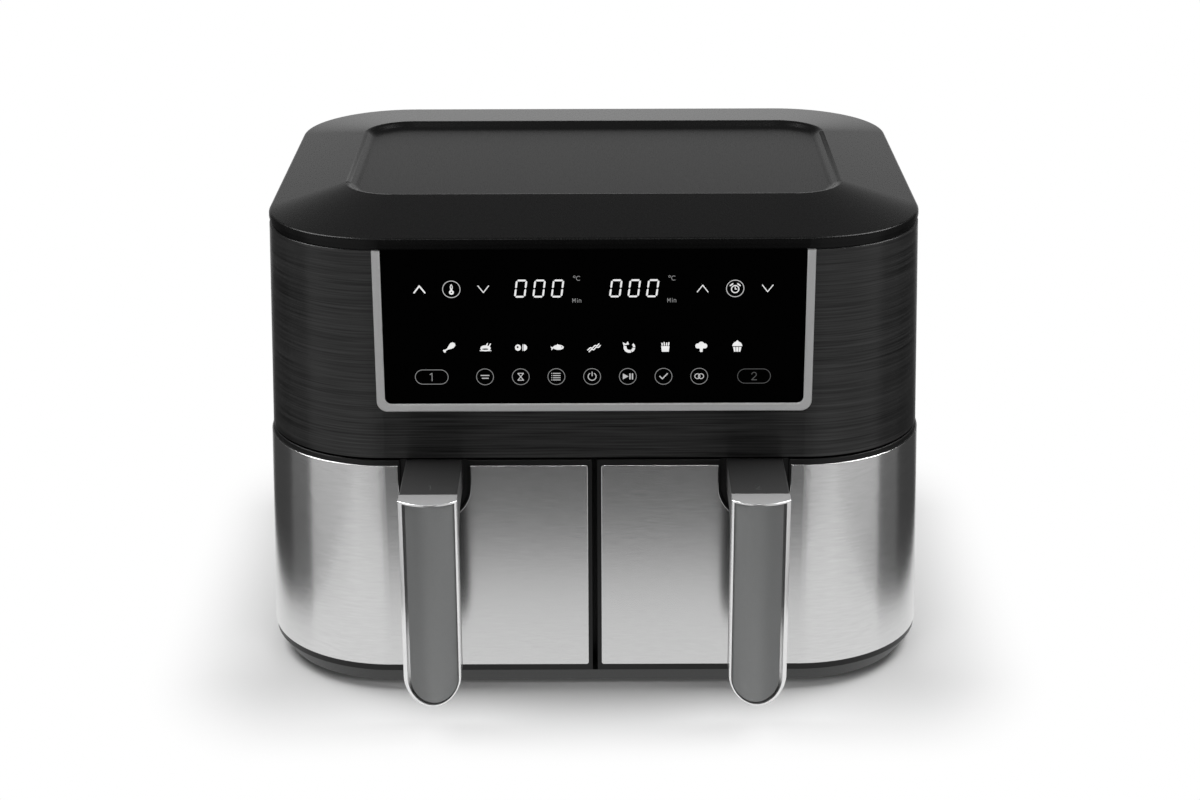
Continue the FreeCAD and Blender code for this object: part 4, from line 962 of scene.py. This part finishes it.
@dataclass(frozen=True)
class Studio:
    """Plain white table, soft lamps and the camera.

    Attributes:
        camera_at: Where the camera stands, in metres.
        pitch_deg: How far it looks down.
        roll_deg: How far it leans.
        lens_mm: Its lens.
        sensor_mm: Width of its sensor.
        table_x: Half the table's width.
        table_front: The table's front edge.
        table_back: The table's back edge.
        foot_half: Half the size of the patch that keeps the full shadow.
        foot_mid: The middle of that patch.
        shadow_reach: How far past the patch the shadow fades out.
        table_glow: How bright the table is in reflections.
    """

    camera_at: tuple[float, float, float] = (0.0035, -1.4429, 0.6903)
    pitch_deg: float = 20.635
    roll_deg: float = -0.181
    lens_mm: float = 69.73
    sensor_mm: float = 36.0
    table_x: float = 0.29
    table_front: float = -0.33
    table_back: float = 1.20
    foot_half: tuple[float, float, float] = (0.195, 0.140, 0.0)
    foot_mid: tuple[float, float, float] = (0.0, 0.035, 0.0)
    shadow_reach: tuple[float, float, float] = (0.095, 0.125, 1.0)
    table_glow: float = 0.90

    def build(self) -> None:
        """Builds the table, the lamps, the world and the camera."""
        self.build_camera()
        self.build_table()
        self.build_world()
        for side, name in ((-1, "left"), (1, "right")):
            self.add_lamp(f"{name}_softbox", (side * 0.95, 0.20, 1.5), (0.0, 0.05, 0.1), (0.7, 0.9), 26.0)
            self.add_lamp(f"{name}_card", (side * 0.90, -0.88, 0.10), (0.0, 0.0, 0.10), (1.6, 1.2), 3.95)
            self.add_lamp(f"{name}_edge_card", (side * 1.50, 0.0, 0.10), (0.0, 0.0, 0.10), (0.66, 1.2), 0.32)
        self.add_lamp("front_strip", (0.0, -1.02, 1.49), (0.0, -0.12, 0.29), (1.6, 0.10), 5.5)
        bpy.context.scene.view_settings.view_transform = "Standard"

    def build_camera(self) -> None:
        """Puts the camera where the photograph was taken from."""
        data = bpy.data.cameras.new("camera")
        data.lens = self.lens_mm
        data.sensor_width = self.sensor_mm
        camera = bpy.data.objects.new("camera", data)
        turn = Matrix.Rotation(math.radians(90 - self.pitch_deg), 4, "X")
        lean = Matrix.Rotation(math.radians(self.roll_deg), 4, "Z")
        camera.matrix_world = Matrix.Translation(self.camera_at) @ turn @ lean
        bpy.context.scene.collection.objects.link(camera)
        bpy.context.scene.camera = camera

    def build_table(self) -> None:
        """Lays a white table top that keeps the shadow."""
        mesh = bpy.data.meshes.new("table")
        x, y0, y1 = self.table_x, self.table_front, self.table_back
        mesh.from_pydata([(-x, y0, 0), (x, y0, 0), (x, y1, 0), (-x, y1, 0)], [], [(0, 1, 2, 3)])
        table = bpy.data.objects.new("table", mesh)
        bpy.context.scene.collection.objects.link(table)
        material = bpy.data.materials.new("white_table")
        material.use_nodes = True
        tree = material.node_tree
        tree.nodes.clear()
        place = add_node(tree, "ShaderNodeTexCoord")
        offset = add_node(tree, "ShaderNodeVectorMath", {"operation": "SUBTRACT"}, {
            0: place.outputs["Object"], 1: self.foot_mid})
        size = add_node(tree, "ShaderNodeVectorMath", {"operation": "ABSOLUTE"}, {0: offset.outputs[0]})
        beyond = add_node(tree, "ShaderNodeVectorMath", {"operation": "SUBTRACT"}, {
            0: size.outputs[0], 1: self.foot_half})
        outside = add_node(tree, "ShaderNodeVectorMath", {"operation": "MAXIMUM"}, {
            0: beyond.outputs[0], 1: (0.0, 0.0, 0.0)})
        share = add_node(tree, "ShaderNodeVectorMath", {"operation": "DIVIDE"}, {
            0: outside.outputs[0], 1: self.shadow_reach})
        reach = add_node(tree, "ShaderNodeVectorMath", {"operation": "LENGTH"}, {0: share.outputs[0]})
        fade = add_node(tree, "ShaderNodeMapRange", {"interpolation_type": "SMOOTHSTEP"}, {
            "Value": reach.outputs["Value"]})
        path = add_node(tree, "ShaderNodeLightPath")
        seen = add_node(tree, "ShaderNodeMath", {"operation": "MULTIPLY"}, {
            0: fade.outputs[0], 1: path.outputs["Is Camera Ray"]})
        shown = add_node(tree, "ShaderNodeMath", {"operation": "MULTIPLY_ADD"}, {
            0: path.outputs["Is Glossy Ray"], 1: self.table_glow, 2: seen.outputs[0]})
        matt = add_node(tree, "ShaderNodeBsdfDiffuse", None, {"Color": (0.60, 0.60, 0.60, 1.0)})
        white = add_node(tree, "ShaderNodeEmission", None, {"Color": (1.0, 1.0, 1.0, 1.0), "Strength": 1.0})
        mixed = add_node(tree, "ShaderNodeMixShader", None, {
            0: shown.outputs[0], 1: matt.outputs[0], 2: white.outputs[0]})
        add_node(tree, "ShaderNodeOutputMaterial", None, {"Surface": mixed.outputs[0]})
        mesh.materials.append(material)

    def build_world(self) -> None:
        """Makes a white backdrop behind the part and a dim room in front of it."""
        world = bpy.data.worlds.new("studio")
        bpy.context.scene.world = world
        world.use_nodes = True
        tree = world.node_tree
        tree.nodes.clear()
        place = add_node(tree, "ShaderNodeTexCoord")
        axes = add_node(tree, "ShaderNodeSeparateXYZ", None, {0: place.outputs["Generated"]})
        back = add_node(tree, "ShaderNodeMapRange", {"interpolation_type": "SMOOTHSTEP"}, {
            "Value": axes.outputs["Y"], "From Min": 0.80, "From Max": 0.97, "To Min": 0.0, "To Max": 1.0})
        low = add_node(tree, "ShaderNodeMapRange", {"interpolation_type": "SMOOTHSTEP"}, {
            "Value": axes.outputs["Z"], "From Min": -0.05, "From Max": 0.50, "To Min": 1.0, "To Max": 0.0})
        aside = add_node(tree, "ShaderNodeMath", {"operation": "ABSOLUTE"}, {0: axes.outputs["X"]})
        middle = add_node(tree, "ShaderNodeMapRange", {"interpolation_type": "SMOOTHSTEP"}, {
            "Value": aside.outputs[0], "From Min": 0.08, "From Max": 0.30, "To Min": 0.36, "To Max": 0.14})
        drop = add_node(tree, "ShaderNodeMath", {"operation": "MULTIPLY"}, {
            0: back.outputs[0], 1: low.outputs[0]})
        shade = add_node(tree, "ShaderNodeMath", {"operation": "MULTIPLY_ADD"}, {
            0: drop.outputs[0], 1: middle.outputs[0], 2: 0.06})
        path = add_node(tree, "ShaderNodeLightPath")
        seen = add_node(tree, "ShaderNodeMath", {"operation": "MAXIMUM"}, {
            0: path.outputs["Is Camera Ray"], 1: path.outputs["Is Transmission Ray"]})
        glossy = add_node(tree, "ShaderNodeMath", {"operation": "MULTIPLY"}, {
            0: path.outputs["Is Glossy Ray"], 1: drop.outputs[0]})
        shown = add_node(tree, "ShaderNodeMath", {"operation": "MAXIMUM"}, {
            0: seen.outputs[0], 1: glossy.outputs[0]})
        level = add_node(tree, "ShaderNodeMath", {"operation": "MAXIMUM"}, {
            0: shown.outputs[0], 1: shade.outputs[0]})
        sky = add_node(tree, "ShaderNodeBackground", None, {
            "Color": (1.0, 1.0, 1.0, 1.0), "Strength": level.outputs[0]})
        add_node(tree, "ShaderNodeOutputWorld", None, {"Surface": sky.outputs[0]})

    def add_lamp(self, name: str, place: tuple[float, float, float], target: tuple[float, float, float],
                 size: tuple[float, float], power: float) -> None:
        """Adds a soft rectangular lamp.

        Args:
            name: The lamp's name.
            place: Where it hangs.
            target: What it points at.
            size: Width and height of its face.
            power: Watts.
        """
        data = bpy.data.lights.new(name, "AREA")
        data.shape = "RECTANGLE"
        data.size, data.size_y = size
        data.energy = power
        lamp = bpy.data.objects.new(name, data)
        lamp.location = place
        aim = Vector(target) - Vector(place)
        lamp.rotation_euler = aim.to_track_quat("-Z", "Y").to_euler()
        bpy.context.scene.collection.objects.link(lamp)


def main() -> None:
    """Builds everything in order."""
    logging.basicConfig(level=logging.INFO)
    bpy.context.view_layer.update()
    Studio().build()
    dress_nodes()
    ControlPanel().build()
    DrawerNumber("left", Glyph.ONE, (-97.5, -171.0, 156.0)).build()
    DrawerNumber("right", Glyph.TWO, (97.0, -171.0, 156.0)).build()
    CrossHeadScrews("rear_screws", ((-118.0, 197.3, 24.0), (-118.0, 197.3, 276.0)),
                    (118.0, 0.0, 0.0), (0.0, 1.0, 0.0)).build()
    CrossHeadScrews("base_screws", ((-172.0, -31.5, 2.5), (172.0, -31.5, 2.5)),
                    (0.0, 64.0, 0.0), (0.0, 0.0, -1.0)).build()


if __name__ == "__main__":
    main()
